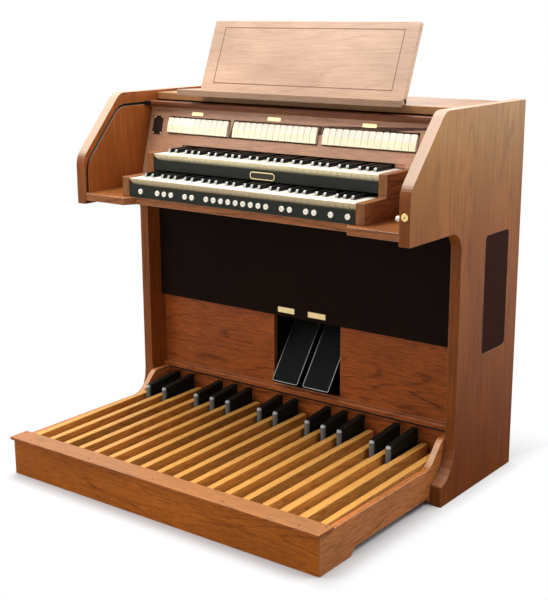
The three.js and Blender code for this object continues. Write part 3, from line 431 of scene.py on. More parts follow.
def moved(part, matrix):
    return [matrix @ Vector(p) for p in part[0]], part[1], part[2]


def loft(rings, mark=0):
    """A closed solid through rings that have the same number of points."""
    count = len(rings[0])
    points = [Vector(p) for ring in rings for p in ring]
    faces = [list(range(count))[::-1], [len(points) - count + k for k in range(count)]]
    for low in range(0, len(points) - count, count):
        for k in range(count):
            after = (k + 1) % count
            faces.append([low + k, low + after, low + count + after, low + count + k])
    return points, faces, [mark] * len(faces)


def prism(outline, axis, low, high, mark=0):
    """An outline stretched along an axis. Faces: the low end, the high end, then the sides."""
    def at_depth(a, b, depth):
        return {"x": (depth, a, b), "y": (a, depth, b), "z": (a, b, depth)}[axis]
    return loft([[at_depth(a, b, depth) for a, b in outline] for depth in (low, high)], mark)


def brick(across, deep, tall, mark=0):
    outline = [(across[0], deep[0]), (across[1], deep[0]), (across[1], deep[1]), (across[0], deep[1])]
    return prism(outline, "z", tall[0], tall[1], mark)


def arc(centre, radius, start_angle, end_angle, steps):
    angles = [math.radians(start_angle + (end_angle - start_angle) * k / steps) for k in range(steps + 1)]
    return [(centre[0] + radius * math.cos(a), centre[1] + radius * math.sin(a)) for a in angles]


def rounded(width, height, radius, steps=5):
    x, y = width / 2 - radius, height / 2 - radius
    return (arc((x, y), radius, 0, 90, steps) + arc((-x, y), radius, 90, 180, steps)
            + arc((-x, -y), radius, 180, 270, steps) + arc((x, -y), radius, 270, 360, steps))


def lathe(profile, sides=32, mark=0, marks=None):
    """A round piece about local z. The profile is (radius, height) from one end to the other."""
    around = [math.tau * k / sides for k in range(sides)]
    points = [Vector((radius * math.cos(a), radius * math.sin(a), height))
              for radius, height in profile for a in around]
    faces, finish = [], []
    for row in range(len(profile) - 1):
        low, high = row * sides, (row + 1) * sides
        for k in range(sides):
            after = (k + 1) % sides
            faces.append([low + k, low + after, high + after, high + k])
            finish.append(marks[row] if marks else mark)
    last = (len(profile) - 1) * sides
    faces += [list(range(sides))[::-1], [last + k for k in range(sides)]]
    finish += [marks[0] if marks else mark, marks[-1] if marks else mark]
    return points, faces, finish


def hoop(outer, inner, low, high):
    """A flat frame between two outlines that have the same number of points, about local z."""
    count = len(outer)
    points = [Vector((a, b, depth)) for depth in (low, high) for line in (outer, inner) for a, b in line]
    faces = []
    for k in range(count):
        after = (k + 1) % count
        for first, second in ((0, count), (count, 3 * count), (3 * count, 2 * count), (2 * count, 0)):
            faces.append([first + k, first + after, second + after, second + k])
    return points, faces, [0] * len(faces)


def at(x, y, z):
    return Matrix.Translation((x, y, z))


def leaning(y, z, lean, x=0):
    """Local x across, local y up a face that leans back by lean degrees, local z out of it."""
    a = math.radians(lean)
    return Matrix(((1, 0, 0, x), (0, math.sin(a), -math.cos(a), y), (0, math.cos(a), math.sin(a), z),
                   (0, 0, 0, 1)))


def soften(piece, width, segments):
    """Rounded edges: a bevel of that many millimetres on edges sharper than 28 degrees."""
    bevel = piece.modifiers.new("soft_edges", "BEVEL")
    bevel.width = width * MM
    bevel.segments = segments
    bevel.limit_method = "ANGLE"
    bevel.angle_limit = math.radians(28)
    bevel.harden_normals = True
    bevel.use_clamp_overlap = True


WELDED = 0.02 * MM
SHARP_ANGLE = math.radians(35)


def build(name, part, finishes, body, edge=0, segments=2, replaces=()):
    """Makes a piece from a part drawn in millimetres, and lets it ride on its body."""
    points, faces, marks = part
    mesh = bpy.data.meshes.new(name)
    mesh.from_pydata([TO_FRAME @ Vector(p) for p in points], [], faces)
    for finish in finishes:
        mesh.materials.append(finish)
    work = bmesh.new()
    work.from_mesh(mesh)
    for face, mark in zip(work.faces, marks):
        face.material_index = mark
        face.smooth = True
    bmesh.ops.remove_doubles(work, verts=work.verts, dist=WELDED)
    bmesh.ops.recalc_face_normals(work, faces=work.faces)
    work.to_mesh(mesh)
    work.free()
    piece = bpy.data.objects.new(name, mesh)
    bpy.context.scene.collection.objects.link(piece)
    if edge:
        soften(piece, edge, segments)
    else:
        mesh.set_sharp_from_angle(angle=SHARP_ANGLE)
    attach(piece, body)
    if replaces:
        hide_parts(*replaces)


def dress(nodes, finish, edge, segments=2):
    """Gives CAD nodes their finish, and rounds their edges."""
    for name in nodes:
        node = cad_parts[name]
        node.data.materials.clear()
        node.data.materials.append(finish)
        weld = node.modifiers.new("weld", "WELD")
        weld.merge_threshold = 0.01 * MM
        flat = node.modifiers.new("flat_faces", "DECIMATE")
        flat.decimate_type = "DISSOLVE"
        flat.angle_limit = math.radians(0.5)
        soften(node, edge, segments)


def screw_head(radius, height):
    """A raised head with a cross recess 1 mm wide, drawn as dark bars through the head: painted shade."""
    head = lathe([(radius, -height), (radius, 0), (radius * 0.8, height * 0.6), (radius * 0.4, height)], 20)
    long, narrow, tall = (-0.55 * radius, 0.55 * radius), (-0.5, 0.5), (height * 0.8, height + 0.1)
    return joined(head, brick(long, narrow, tall, 1), brick(narrow, long, tall, 1))


# Cabinet boards keep their CAD solids and get rounded edges
dress(["side_panel_left"], SIDE_OAK, 2.6, 3)
dress(["side_panel_right"], RIGHT_OAK_PAINTED_LIGHT, 2.6, 3)
dress(["top_panel"], TOP_OAK, 1.8)
dress(["key_bed"], BED_OAK, 1.8)
dress(["kick_panel"], LONG_OAK, 1)
dress(["stop_panel"], STOP_OAK, 1.8)
dress(["key_block_left", "key_block_right"], BLOCK_OAK, 1.8)
dress(["back_panel"], HARDBOARD, 0.6, 1)
dress(["front_grille"], CLOTH, 2.5)
dress(["side_grille_left", "side_grille_right"], SIDE_CLOTH, 1.5)
dress(["nameboard", "piston_rail"], BOARD_BLACK, 0.8)
dress(["expression_well"], WELL_BLACK, 1)
dress(["expression_pedal_left", "expression_pedal_right"], WELL_BLACK, 2)
dress(["loudspeaker"], STEEL, 1.5)
LONG_PEDALS = sorted(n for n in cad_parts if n.startswith("pedal_") and "sharp" not in n)
SHARP_PEDALS = sorted(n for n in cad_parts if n.startswith("pedal_") and "sharp" in n)
dress(LONG_PEDALS, PEDAL_OAK, 2.4, 3)

# Pedalboard: mitred fascia and rails, a cap, and the boards inside. Under each rail is an arch,
# and its rear end rises to an ear.
EAR_DEPTH, EAR_RUN, ARCH_RUN, ARCH_RISE = 94, 106, 30, 22
FLOOR_FOOT, FLOOR_TOP, HINGE_RAIL_TOP = 24, 34, 74.7
BATTEN_FRONT, BATTEN_REAR, BATTEN_TOP, FELT_TOP = -338, -308, 69, 70


def swept(a, d, leave=0.5, steps=14):
    """The points after a on a curve to d that is level at both ends."""
    run = d[0] - a[0]
    b, c = (a[0] + leave * run, a[1]), (a[0] + 0.5 * run, d[1])
    points = []
    for k in range(1, steps + 1):
        t = k / steps
        points.append(tuple((1 - t) ** 3 * a[i] + 3 * (1 - t) ** 2 * t * b[i] + 3 * (1 - t) * t * t * c[i]
                            + t ** 3 * d[i] for i in (0, 1)))
    return points


def rail_outline():
    first, last, ear = FASCIA_FRONT + 142, BOARD_REAR - 160, BOARD_REAR - EAR_DEPTH
    return ([(FASCIA_FRONT, 0), (first, 0)] + swept((first, 0), (first + ARCH_RUN, ARCH_RISE))
            + [(last - ARCH_RUN, ARCH_RISE)] + swept((last - ARCH_RUN, ARCH_RISE), (last, 0))
            + [(BOARD_REAR, 0), (BOARD_REAR, BOARD_TOP), (ear, BOARD_TOP)]
            + swept((ear, BOARD_TOP), (ear - EAR_RUN, CAP_UNDER), 0.3) + [(FASCIA_FRONT, CAP_UNDER)])


mitre = BOARD_HALF - BOARD_RAIL
for side, word in BOTH:
    inner, outer = side * mitre, side * BOARD_HALF
    rail = prism(rail_outline(), "x", min(inner, outer), max(inner, outer))
    for point in rail[0]:
        if point.y == FASCIA_FRONT and point.x == inner:
            point.y = FASCIA_REAR
    build(f"pedalboard_rail_{word}", rail, [RAIL_OAK], "cabinet", 1.6,
          replaces=["pedalboard_frame"])

fascia = [(-BOARD_HALF, FASCIA_FRONT), (BOARD_HALF, FASCIA_FRONT), (mitre, FASCIA_REAR),
          (-mitre, FASCIA_REAR)]
build("pedalboard_fascia", prism(fascia, "z", 0, CAP_UNDER), [FASCIA_OAK], "cabinet", 1.6,
      replaces=["pedalboard_frame"])
build("pedalboard_cap", brick((-BOARD_CAP_HALF, BOARD_CAP_HALF), (CAP_FRONT, CAP_REAR), (CAP_UNDER, CAP_TOP)),
      [CAP_SHEEN_AND_WEAR_OAK], "cabinet", 2.2, 3, replaces=["pedalboard_frame"])
build("pedalboard_inner_boards", joined(
    brick((-mitre, mitre), (FASCIA_REAR, PEDAL_HINGE), (FLOOR_FOOT, HINGE_RAIL_TOP)),
    brick((-mitre, mitre), (FASCIA_REAR, KICK_FRONT), (FLOOR_FOOT, FLOOR_TOP)),
    brick((-mitre, mitre), (BATTEN_FRONT, BATTEN_REAR), (FLOOR_FOOT, BATTEN_TOP)),
    brick((-mitre, mitre), (KICK_FRONT, BOARD_REAR), (FLOOR_FOOT, BOARD_TOP))),
    [LONG_OAK], "cabinet", 1, replaces=["pedalboard_frame"])
felt = brick((-mitre + 2, mitre - 2), (BATTEN_FRONT + 1, BATTEN_REAR - 1), (BATTEN_TOP - 0.5, FELT_TOP))
build("pedalboard_felt_strip", felt, [FELT], "cabinet", 0.4)

# Black strip under the knee panel's moulding, against the pedalboard: painted shade for the dark gap there
buffer = brick((-INNER_HALF + 1, INNER_HALF - 1), (-304.5, -290.6), (177.5, 182.8))
build("moulding_shade_strip", buffer, [RUBBER], "cabinet", 0.6)

cap_screws = [(256 * k, -997) for k in (-2, -1, 0, 1, 2)] + [(-573, -962), (573, -962)]
build("pedalboard_cap_screws", joined(*[moved(screw_head(4, 0.7), at(x, y, CAP_TOP + 0.05))
                                        for x, y in cap_screws]), [SCREW_BRONZE, SHADE_BLACK], "cabinet")

# Black pedals: an oak stick, a painted cap on its rear end and a grey nosing. The caps grow
# longer towards the ends of the board.
PEDALS_TO_END = 7.5
CAP_LENGTH, CAP_GROWTH = 122, 42
CAP_REAR_TOP, CAP_NOSE_TOP = 173.3, 159.6
TONGUE = 16.7
NOSE, NOSE_SHARE = 9, 0.8
NOSE_PROFILE = ((1, 152), (0.94, 155.5), (0.76, 158.2), (0.4, 159.4))


def sharp_pedal(name):
    low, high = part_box(name)
    middle = (low[0] + high[0]) / 2 / MM
    outward = (middle / PEDAL_PITCH + 0.5) / PEDALS_TO_END
    rear = PEDAL_REAR - 2
    front = rear - (CAP_LENGTH + CAP_GROWTH * outward * outward)
    climb = PEDAL_RISE / (rear - PEDAL_HINGE)
    half = PEDAL_WIDTH / 2

    def foot(y):
        return PEDAL_FOOT + climb * max(y - PEDAL_HINGE, 0)

    tongue = PEDAL_HINGE - TONGUE
    under, over = foot(front) + PEDAL_THICK, foot(rear) + PEDAL_THICK
    stick = [(tongue, PEDAL_FOOT), (PEDAL_HINGE, PEDAL_FOOT), (rear, foot(rear)), (rear, over),
             (tongue, PEDAL_FOOT + PEDAL_THICK)]
    build(f"{name}_stick", prism(stick, "x", middle - half, middle + half), [PEDAL_OAK], name, 2,
          replaces=[name])
    slope = (CAP_REAR_TOP - CAP_NOSE_TOP) / (rear - front - NOSE)
    cap = [(front + NOSE, under), (rear, over), (rear, CAP_REAR_TOP),
           (front + NOSE + 0.2, CAP_NOSE_TOP + 0.2 * slope)]
    build(f"{name}_cap", prism(cap, "x", middle - half, middle + half), [CAP_BLACK], name, 2.6, 3,
          replaces=[name])
    rings = []
    turns = [math.pi * k / 12 for k in range(13)]
    for share, height in ((1, under - 4),) + NOSE_PROFILE:
        rings.append([(middle + NOSE_SHARE * half * share * math.cos(a),
                       front + NOSE - NOSE * share * math.sin(a), height) for a in turns])
    nosing = loft(rings)
    # The top end and the bands above the straight foot take the painted highlight
    nosing[2][1] = 1
    nosing[2][2 + len(turns):] = [1] * (len(nosing[2]) - 2 - len(turns))
    build(f"{name}_nosing", nosing, [NOSE_GREY, NOSE_HIGHLIGHT], name)


for name in SHARP_PEDALS:
    sharp_pedal(name)

# Keys, each a closed shape of its own in one mesh, with the gaps between them
HALF_KEYS = NATURALS * NATURAL_PITCH / 2
SHARP_PLACES = [-HALF_KEYS + (7 * octave + note + 1 + shift) * NATURAL_PITCH for octave in range(5)
                for note, shift in ((0, -0.1), (1, 0.1), (3, -0.13), (4, 0), (5, 0.13))]
HEAD, REAR, SLOT = 50, 190, 6.4
KEY_GAP, KEY_DEPTH, KEY_LIP = 1, 25, 19
SHARP_HALF = 5.2
# Rings of a short key from its foot up: half its width, where its front is, and the height
SHARP_RINGS = ((SHARP_HALF, 0, -20), (SHARP_HALF, 0, 0), (4.9, 1.8, 7.5), (4.3, 5.5, 11.5))


def natural_key(n, front, top):
    left = -HALF_KEYS + n * NATURAL_PITCH + KEY_GAP / 2
    right = left + NATURAL_PITCH - KEY_GAP
    rear, step = front + REAR, front + HEAD
    plan = [(left, front), (right, front)]
    beside = [s for s in SHARP_PLACES if left < s - SLOT < right]
    plan += [(right, step), (beside[0] - SLOT, step), (beside[0] - SLOT, rear)] if beside else [(right, rear)]
    beside = [s for s in SHARP_PLACES if left < s + SLOT < right]
    plan += [(beside[0] + SLOT, rear), (beside[0] + SLOT, step), (left, step)] if beside else [(left, rear)]
    key = prism(plan, "z", top - KEY_DEPTH, top)
    for point in key[0][:2]:
        point.y += KEY_LIP
    key[2][2] = 1
    return key


def sharp_key(x, front, top):
    start_y, rear = front + HEAD + 1.2, front + REAR + 19
    rings = []
    for half, y, z in SHARP_RINGS:
        rings.append([(x - half, start_y + y, top + z), (x + half, start_y + y, top + z),
                      (x + half, rear, top + z), (x - half, rear, top + z)])
    key = loft(rings)
    # The fronts of the two upper bands take the painted reflection
    key[2][6] = key[2][10] = 1
    return key


for word, front, top, cream in (("lower", LOWER_FRONT, LOWER_TOP, SHADED_KEY_FRONT),
                                ("upper", UPPER_FRONT, UPPER_TOP, KEY_CREAM)):
    naturals = [natural_key(n, front, top) for n in range(NATURALS)]
    naturals.append(brick((-HALF_KEYS + KEY_GAP / 2, HALF_KEYS - KEY_GAP / 2),
                          (front + REAR, front + REAR + 15), (top - KEY_DEPTH, top - 2)))
    build(f"{word}_natural_keys", joined(*naturals), [KEY_IVORY, cream], f"{word}_naturals", 0.7,
          replaces=[f"{word}_naturals"])
    sharps = [sharp_key(x, front, top) for x in SHARP_PLACES]
    sharps.append(brick((SHARP_PLACES[0] - SHARP_HALF, SHARP_PLACES[-1] + SHARP_HALF),
                        (front + REAR + 17, front + REAR + 30), (top - KEY_DEPTH, top + 10)))
    build(f"{word}_sharp_keys", joined(*sharps), [KEY_BLACK, KEY_FRONT_REFLECTION], f"{word}_sharps", 0.9, 3,
          replaces=[f"{word}_sharps"])

# Beside the outer short keys, strips close the slot under the stop panel
ends = [(-HALF_KEYS + KEY_GAP / 2, SHARP_PLACES[0] - 8), (SHARP_PLACES[-1] + 8, HALF_KEYS - KEY_GAP / 2)]
build("key_slot_strips", joined(*[brick(end, (-357, -350), (967.8, 981.4)) for end in ends]), [STOP_OAK],
      "cabinet", 0.6)

# Thumb pistons: dished buttons with an engraved dimple, and a bar that ties their rear ends
PISTON_START, PISTON_PITCH, PISTON_LEVEL, PISTON_FACE = -374, 28.2, 862.2, LOWER_FRONT - 1
BUTTON = [(8.5, -9), (8.5, 2.6), (8.1, 3.5), (7.2, 4), (6.2, 3.9), (4, 3.6), (1.5, 3.5), (1.1, 2.8),
          (0.4, 2.6)]
piston_places = []
for count, leap in ((1, 0), (3, 13.8), (2, 0), (9, 0), (2, 0), (2, 0), (1, 0), (1, 0)):
    start_x = piston_places[-1] + 2 * PISTON_PITCH + leap if piston_places else PISTON_START
    piston_places += [start_x + PISTON_PITCH * k for k in range(count)]
fronts = [leaning(PISTON_FACE, PISTON_LEVEL, 0, x) for x in piston_places]
button = lathe(BUTTON, 28, marks=[0] * 6 + [1, 1])
tie = brick((piston_places[0], piston_places[-1]), (-610.2, -605.2), (857, 867))
build("thumb_piston_buttons", joined(*[moved(button, front) for front in fronts], tie),
      [KEY_IVORY, MARK_GREY], "thumb_pistons", replaces=["thumb_pistons"])
collar = hoop(rounded(20.4, 20.4, 10.1, 7), rounded(18.4, 18.4, 9.1, 7), -0.2, 0.5)
build("thumb_piston_collars", joined(*[moved(collar, front) for front in fronts]), [KEY_BLACK],
      "cabinet", 0.2)

# Rocker stops, with rounded top corners and a crease across the middle
TAB_WIDE, TAB_TALL, TAB_PITCH, TAB_CORNER = 22.4, 50, 23.3, 4.5
TAB_SEAT, TAB_CREASE, TAB_LOW_FALL, TAB_TOP_FALL = -5, 9, 2, 4
TABS_START, TABS_BETWEEN = -497, 22
TIE_PROFILE = [(-2.5, -17.3), (2.5, -17.3), (2.5, -12.3), (-2.5, -12.3)]
STEM_PROFILE = [(-7, TAB_SEAT), (7, TAB_SEAT), (2.5, -13), (-2.5, -13)]


def rocker(x):
    low, high, left, right, r = -TAB_TALL / 2, TAB_TALL / 2, x, x + TAB_WIDE, TAB_CORNER
    rim = ([(left, low), (right, low), (right, 0)] + arc((right - r, high - r), r, 0, 90, 4)
           + arc((left + r, high - r), r, 90, 180, 4) + [(left, 0)])

    def proud(v):
        return TAB_CREASE - v / low * TAB_LOW_FALL if v < 0 else TAB_CREASE - v / high * TAB_TOP_FALL

    count = len(rim)
    points = [Vector((a, b, TAB_SEAT)) for a, b in rim] + [Vector((a, b, proud(b))) for a, b in rim]
    faces = [[k, (k + 1) % count, count + (k + 1) % count, count + k] for k in range(count)]
    faces += [list(range(count))[::-1], [count, count + 1, count + 2, 2 * count - 1],
              [count + k for k in range(2, count)]]
    # The lower half of the face takes the painted shade
    return points, faces, [0] * (count + 1) + [1, 0]


on_stops = leaning(STOP_FACE, STOP_MIDDLE, STOP_LEAN)
group_start = TABS_START
for word, count in (("left", 11), ("centre", 14), ("right", 14)):
    places = [group_start + TAB_PITCH * k for k in range(count)]
    tabs = [rocker(x) for x in places]
    tabs.append(prism(TIE_PROFILE, "x", group_start - 9, group_start + TAB_PITCH * count - 0.9 + 9))
    stems = [prism(STEM_PROFILE, "x", x + 4, x + TAB_WIDE - 4) for x in places]
    build(f"stop_rockers_{word}", moved(joined(*tabs, *stems), on_stops), [TAB_IVORY, TAB_SHADED],
          f"stop_tabs_{word}", 0.7, replaces=[f"stop_tabs_{word}"])
    group_start += TAB_PITCH * count + TABS_BETWEEN


# Small plates, all blank
def plate(width, height, radius, pin):
    thick = 0.9
    body = prism(rounded(width, height, radius), "z", -0.1, thick)
    studs = [moved(lathe([(pin, 0), (pin, thick + 0.3), (pin * 0.5, thick + 0.8)], 16, 1),
                   at(side * (width / 2 - 4), 0, 0)) for side in (-1, 1)]
    return joined(body, *studs)


labels = [moved(plate(w, 11.4, 1.2, 1), on_stops @ at(x, 41.9, 0))
          for x, w in ((-380.5, 47), (-66.5, 51), (285.5, 49))]
build("stop_panel_labels", joined(*labels), [PLATE_BRASS, BRASS], "cabinet", 0.25)
labels = [moved(plate(w, 18, 1.5, 1.3), leaning(-310.3, 466, 0, x)) for x, w in ((-38.5, 66), (82, 68))]
build("grille_labels", joined(*labels), [PLATE_BRASS, BRASS], "cabinet", 0.25)

switch = on_stops @ at(-546.5, -2.7, 0)
build("switch_plate", moved(prism(rounded(41, 62, 7), "z", -0.1, 2.5), switch), [DARK_PLATE], "cabinet", 1)
build("switch_plate_inset", moved(hoop(rounded(27, 46, 4), rounded(25, 44, 3), 2.4, 3), switch),
      [BOARD_BLACK], "cabinet", 0.2)
corners = [moved(screw_head(3.2, 1), switch @ at(x, y, 2.5)) for x in (-16, 16) for y in (-26.5, 26.5)]
build("switch_plate_screws", joined(*corners), [BRASS, SHADE_BLACK], "cabinet")

plaque = leaning(UPPER_FRONT, 929, 0, 17)
build("plaque", moved(prism(rounded(95, 24, 9), "z", -0.1, 1.2), plaque), [PLAQUE_BROWN], "cabinet", 0.4)
build("plaque_rim", moved(hoop(rounded(93, 22.4, 9.5), rounded(88.4, 17.8, 7.2), 1, 1.8), plaque),
      [PLATE_BRASS], "cabinet", 0.2)

# Lock in the cheek's front edge, and the white buffer on its inner face
LOCK_PROFILE = [(8.7, -22), (8.7, -1), (10.8, -0.2), (10.8, 1.4), (9.9, 2.3), (8.2, 2.5), (7.6, 2.1),
                (7.2, 2.1), (6.9, 2.4), (0.5, 2.4)]
BUFFER_PROFILE = [(9, 0), (9, 3.6), (8, 4.6), (8, 12.6), (7, 15.4), (3.6, 16.6), (0.5, 17)]
lock = leaning(-654.3, 886, 0, 603)
build("lock_rosette", moved(lathe(LOCK_PROFILE, 40), lock), [BRASS], "lock_cylinder",
      replaces=["lock_cylinder"])
# Dark plate over the keyhole: painted shade
build("lock_keyhole", moved(prism(rounded(7, 1.9, 0.8), "z", 1.9, 2.6), lock), [SHADE_BLACK], "lock_cylinder")
sideways = Matrix(((0, 0, -1, INNER_HALF), (0, 1, 0, -641), (1, 0, 0, 879), (0, 0, 0, 1)))
build("cheek_buffer", moved(lathe(BUFFER_PROFILE, 28), sideways), [BUFFER_WHITE], "cabinet")

# Strip that closes the slot between the stop panel and the roll-top's rail
ROLL_HALF = 585.4
crest = brick((-ROLL_HALF, ROLL_HALF), (-330.2, -318.8), (1088.6, 1095.4))
build("stop_panel_crest", crest, [STOP_OAK], "cabinet", 0.8)

# Roll-top: front rail, slats on a cloth backing, and a guide shoe at each end
ROLL_REAR = ROLL_FRONT + 18
SLATS, SLAT_PITCH, SLAT_DEPTH, SLAT_HALF, SLAT_UNDER = 13, 21.6, 21.4, 592.3, ROLL_LEVEL - 3
rail = [(ROLL_FRONT + 2.5, ROLL_FOOT), (ROLL_REAR, ROLL_FOOT), (ROLL_REAR, ROLL_TOP),
        (ROLL_FRONT + 3, ROLL_TOP), (ROLL_FRONT, ROLL_TOP - 3), (ROLL_FRONT, ROLL_FOOT + 9),
        (ROLL_FRONT + 2.5, ROLL_FOOT + 6)]
build("roll_top_rail", prism(rail, "x", -ROLL_HALF, ROLL_HALF), [ROLL_OAK], "roll_top", 1.2, 3,
      replaces=["roll_top"])
slats = [brick((-SLAT_HALF, SLAT_HALF), (y, y + SLAT_DEPTH), (SLAT_UNDER, ROLL_LEVEL + 3.6))
         for y in (ROLL_REAR + SLAT_PITCH * k for k in range(SLATS))]
build("roll_top_slats", joined(*slats), [ROLL_OAK], "roll_top", 1.4,
      replaces=["roll_top"])
build("roll_top_backing", brick((-560, 560), (ROLL_REAR, -54), (SLAT_UNDER - 1, SLAT_UNDER)), [CLOTH],
      "roll_top", 0.3)


def shoe_end(width, height, radius, *ends):
    outline = [(y + ROLL_FRONT - 7, z + ROLL_LEVEL) for y, z in rounded(width, height, radius)]
    return prism(outline, "x", *sorted(ends))


for side, word in BOTH:
    shoe = joined(shoe_end(16, 14, 4, side * 571, side * 585.2), shoe_end(12, 7.6, 3, side * 585, side * 592))
    build(f"roll_top_guide_{word}", shoe, [KEY_BLACK], "roll_top", 0.8)

# Dark strip at the bottom of the roll-top's groove, painted shade, which follows the cheek: up its front,
# along its slope 23 mm below the edge, and back level, with a bend between each two.
GROOVE_FRONT, GROOVE_REAR, GROOVE_BELOW, GROOVE_BEND = -640, -40, 23, 32
CHEEK_NOSE, CHEEK_RUN, CHEEK_RISE = (-654, 955), 174, 1150.3 - 955


def groove_line():
    length = math.hypot(CHEEK_RUN, CHEEK_RISE)
    run, rise = CHEEK_RUN / length, CHEEK_RISE / length
    line = (CHEEK_NOSE[0] + rise * GROOVE_BELOW, CHEEK_NOSE[1] - run * GROOVE_BELOW)
    low = (GROOVE_FRONT, line[1] + (GROOVE_FRONT - line[0]) * rise / run)
    high = (line[0] + (ROLL_LEVEL - line[1]) * run / rise, ROLL_LEVEL)
    ahead = (run * GROOVE_BEND, rise * GROOVE_BEND)

    def bend(a, b, c):
        return [tuple((1 - t) ** 2 * a[i] + 2 * (1 - t) * t * b[i] + t * t * c[i] for i in (0, 1))
                for t in (k / 8 for k in range(9))]

    return ([(GROOVE_FRONT, KEY_BED_TOP + 1)]
            + bend((GROOVE_FRONT, low[1] - GROOVE_BEND), low, (low[0] + ahead[0], low[1] + ahead[1]))
            + bend((high[0] - ahead[0], high[1] - ahead[1]), high, (high[0] + GROOVE_BEND, ROLL_LEVEL))
            + [(GROOVE_REAR, ROLL_LEVEL)])


def ribbon(line, half, low, high):
    rings = []
    for k, point in enumerate(line):
        before, after = Vector(line[max(k - 1, 0)]), Vector(line[min(k + 1, len(line) - 1)])
        along = (after - before).normalized()
        y, z = -along.y * half, along.x * half
        rings.append([(x, point[0] + way * y, point[1] + way * z)
                      for x, way in ((low, 1), (high, 1), (high, -1), (low, -1))])
    return loft(rings)


for side, word in BOTH:
    inner, outer = sorted((side * 593.1, side * 593.9))
    build(f"groove_shade_strip_{word}", ribbon(groove_line(), 4.2, inner, outer), [SHADE_BLACK], "cabinet")

# Music desk: a board with an inlaid border line, on its ledge
desk = leaning(DESK_FOOT, DESK_SEAT, DESK_LEAN)
build("music_desk_board", moved(brick((-387, 387), (7, 252), (-16, 0)), desk), [DESK_OAK], "cabinet", 2, 3,
      replaces=["music_desk"])
ledge = [(-423, -385.5), (423, -385.5), (387, DESK_FOOT), (387, -297), (327, -297), (327, -254.5),
         (-327, -254.5), (-327, -297), (-387, -297), (-387, DESK_FOOT)]
build("music_desk_ledge", prism(ledge, "z", DESK_SEAT, DESK_SEAT + 20), [LEDGE_OAK], "cabinet", 2.2, 3,
      replaces=["music_desk"])
border = [(340, 230), (-340, 230), (-340, 41), (340, 41)]
inside = [(337, 227), (-337, 227), (-337, 44), (337, 44)]
build("music_desk_border", moved(hoop(border, inside, -0.3, 0.25), desk), [INLAY_BROWN], "cabinet")

# Expression pedals: a ribbed mat and an aluminium edge on each
RIBS, RIB_PITCH, RIB_TOP, RIB_FOOT, MAT_HALF = 22, 4.1, 1.1, 0.5, 47
EXPRESSION_SLOPE = 54.3
ribs = []
for k in range(RIBS):
    x = 2 - MAT_HALF + RIB_PITCH * k
    ribs += [(x, RIB_TOP), (x + 2.4, RIB_TOP), (x + 2.9, RIB_FOOT), (x + 3.6, RIB_FOOT)]
mat = prism([(-MAT_HALF, 0), (-MAT_HALF, 0.6)] + ribs + [(MAT_HALF, 0.6), (MAT_HALF, 0)], "y", 6, 244)
outer = [(a, b + 125) for a, b in rounded(101, 249, 7)]
inner = [(a, b + 125) for a, b in rounded(97.4, 245.4, 5.2)]
for word, middle in (("left", -33), ("right", 89.5)):
    tread = leaning(-328, 225.1, 90 - EXPRESSION_SLOPE, middle)
    body = f"expression_pedal_{word}"
    build(f"expression_mat_{word}", moved(mat, tread), [RUBBER], body)
    build(f"expression_edging_{word}", moved(hoop(outer, inner, -2, 1.4), tread), [EDGING], body, 0.3)

# Back: fixing screws round the edge, and the mains inlet
back_screws = [(x, z) for x in (-570, 570) for z in (90, 350, 610, 870, 1090)]
back_screws += [(x, z) for x in (-285, 0, 285) for z in (80, 1100)]
face_back = Matrix(((-1, 0, 0, 0), (0, 0, 1, 0), (0, 1, 0, 0), (0, 0, 0, 1)))
build("back_panel_screws", joined(*[moved(screw_head(3.6, 0.8), at(x, -1.2, z) @ face_back)
                                    for x, z in back_screws]), [STEEL, SHADE_BLACK], "cabinet")
pins = [brick((x - 1, x + 1), (y - 3, y + 3), (-12, -3), 1) for x, y in ((-7, -2), (7, -2), (0, 4))]
shell = joined(hoop(rounded(47, 27, 3), rounded(30, 20, 3), -12, 0),
               prism(rounded(46, 26, 3), "z", -13, -11.5), *pins)
build("mains_inlet", moved(shell, at(156, -1.5, 164) @ face_back), [BOARD_BLACK, BRASS], "cabinet", 0.5)

# Stage: white floor, white surroundings, and large soft lights. Places and sizes are in metres,
# and the lamps' power in watts.
FLOOR_HALF = 9
AIMED_AT = (0, 0, 0.65)
LAMPS = (
    ("ceiling_softbox", (-1.0, 0.2, 3.0), 1.7, 82),
    ("overhead_softbox", (-0.9, -1.3, 2.9), 1.0, 32),
    ("right_softbox", (1.55, 0.2, 2.3), 1.0, 28),
    ("left_softbox", (-2.6, -2.8, 1.7), 1.5, 26),
    ("low_front_fill", (0.3, -3.6, 0.5), 1.6, 30),
    ("rear_softbox", (-1.8, 3.0, 2.0), 1.6, 13),
    ("right_rear_sheen", (2.0, 2.85, 1.45), 1.2, 28))


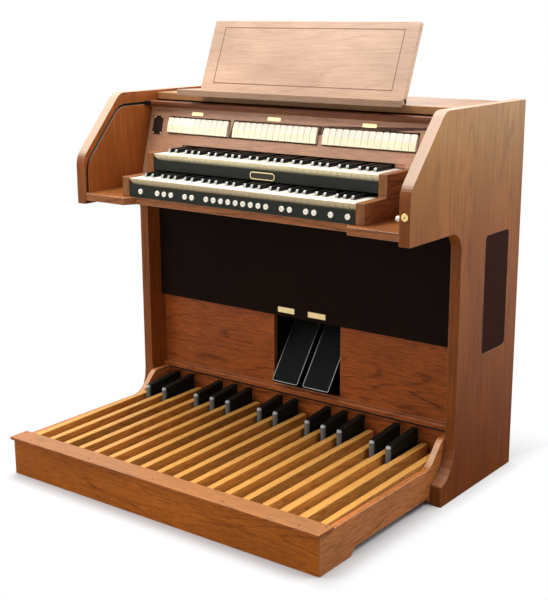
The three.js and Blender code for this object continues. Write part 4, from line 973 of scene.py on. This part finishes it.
def floor_paint():
    material, tree, place = start("matt_white_floor_paint")
    spot = place.outputs["Object"]
    seen = add(tree, "ShaderNodeLightPath")
    cloud = noise(tree, spot, 1.5, 2)
    colour = pick(tree, seen.outputs["Is Camera Ray"], spread(tree, cloud, 0, 1, 0.25, 0.27),
                  spread(tree, cloud, 0, 1, 0.66, 0.68))
    surface = add(tree, "ShaderNodeBsdfDiffuse", {"Color": colour})
    # Away from the footprint the floor runs into the white surroundings with no line between
    # them. A mirrored floor turns white farther out, so that lacquer near it keeps its colour.
    far = add(tree, "ShaderNodeVectorMath", {0: spot}, operation="LENGTH")
    far = spread(tree, far.outputs["Value"], 1.0, 2.6)
    reach = []
    for axis, near, clear in (("x", BOARD_HALF * MM, BOARD_HALF * MM + 0.09),
                              ("y", BACK - 0.02, BACK + 0.3)):
        reach.append(spread(tree, maths(tree, "ABSOLUTE", axis_of(tree, spot, axis)), near, clear))
    near = maths(tree, "MAXIMUM", *reach)
    mirrored = maths(tree, "MULTIPLY", far, seen.outputs["Is Glossy Ray"])
    fade = pick(tree, seen.outputs["Is Camera Ray"], mirrored, near)
    white = add(tree, "ShaderNodeEmission", {"Color": (1, 1, 1, 1), "Strength": 1})
    both = add(tree, "ShaderNodeMixShader", {0: fade, 1: surface, 2: white})
    add(tree, "ShaderNodeOutputMaterial", {"Surface": both})
    return material


def set_world():
    """White for the camera and in mirrors, a softer light on everything else."""
    world = bpy.data.worlds.new("studio")
    bpy.context.scene.world = world
    world.use_nodes = True
    tree = world.node_tree
    tree.nodes.clear()
    seen = add(tree, "ShaderNodeLightPath")
    shown = maths(tree, "MAXIMUM", seen.outputs["Is Camera Ray"], seen.outputs["Is Transmission Ray"])
    shown = maths(tree, "MAXIMUM", shown, seen.outputs["Is Glossy Ray"])
    around = add(tree, "ShaderNodeBackground", {"Color": linear("#f4f6fa"), "Strength": 0.42})
    white = add(tree, "ShaderNodeBackground", {"Color": (1, 1, 1, 1), "Strength": 1})
    both = add(tree, "ShaderNodeMixShader", {0: shown, 1: around, 2: white})
    add(tree, "ShaderNodeOutputWorld", {"Surface": both})


def softbox(name, place, size, power):
    light = bpy.data.lights.new(name, "AREA")
    light.shape = "SQUARE"
    light.size = size
    light.energy = power
    lamp = bpy.data.objects.new(name, light)
    aim = Vector(AIMED_AT) - Vector(place)
    lamp.matrix_world = Matrix.Translation(place) @ aim.to_track_quat("-Z", "Y").to_matrix().to_4x4()
    bpy.context.scene.collection.objects.link(lamp)


def set_stage():
    sheet = bpy.data.meshes.new("studio_floor")
    half = FLOOR_HALF
    sheet.from_pydata([(-half, -half, 0), (half, -half, 0), (half, half, 0), (-half, half, 0)], [],
                      [(0, 1, 2, 3)])
    sheet.materials.append(floor_paint())
    floor = bpy.data.objects.new("studio_floor", sheet)
    bpy.context.scene.collection.objects.link(floor)
    set_world()
    for lamp in LAMPS:
        softbox(*lamp)


set_stage()
bpy.context.scene.view_settings.view_transform = "Standard"
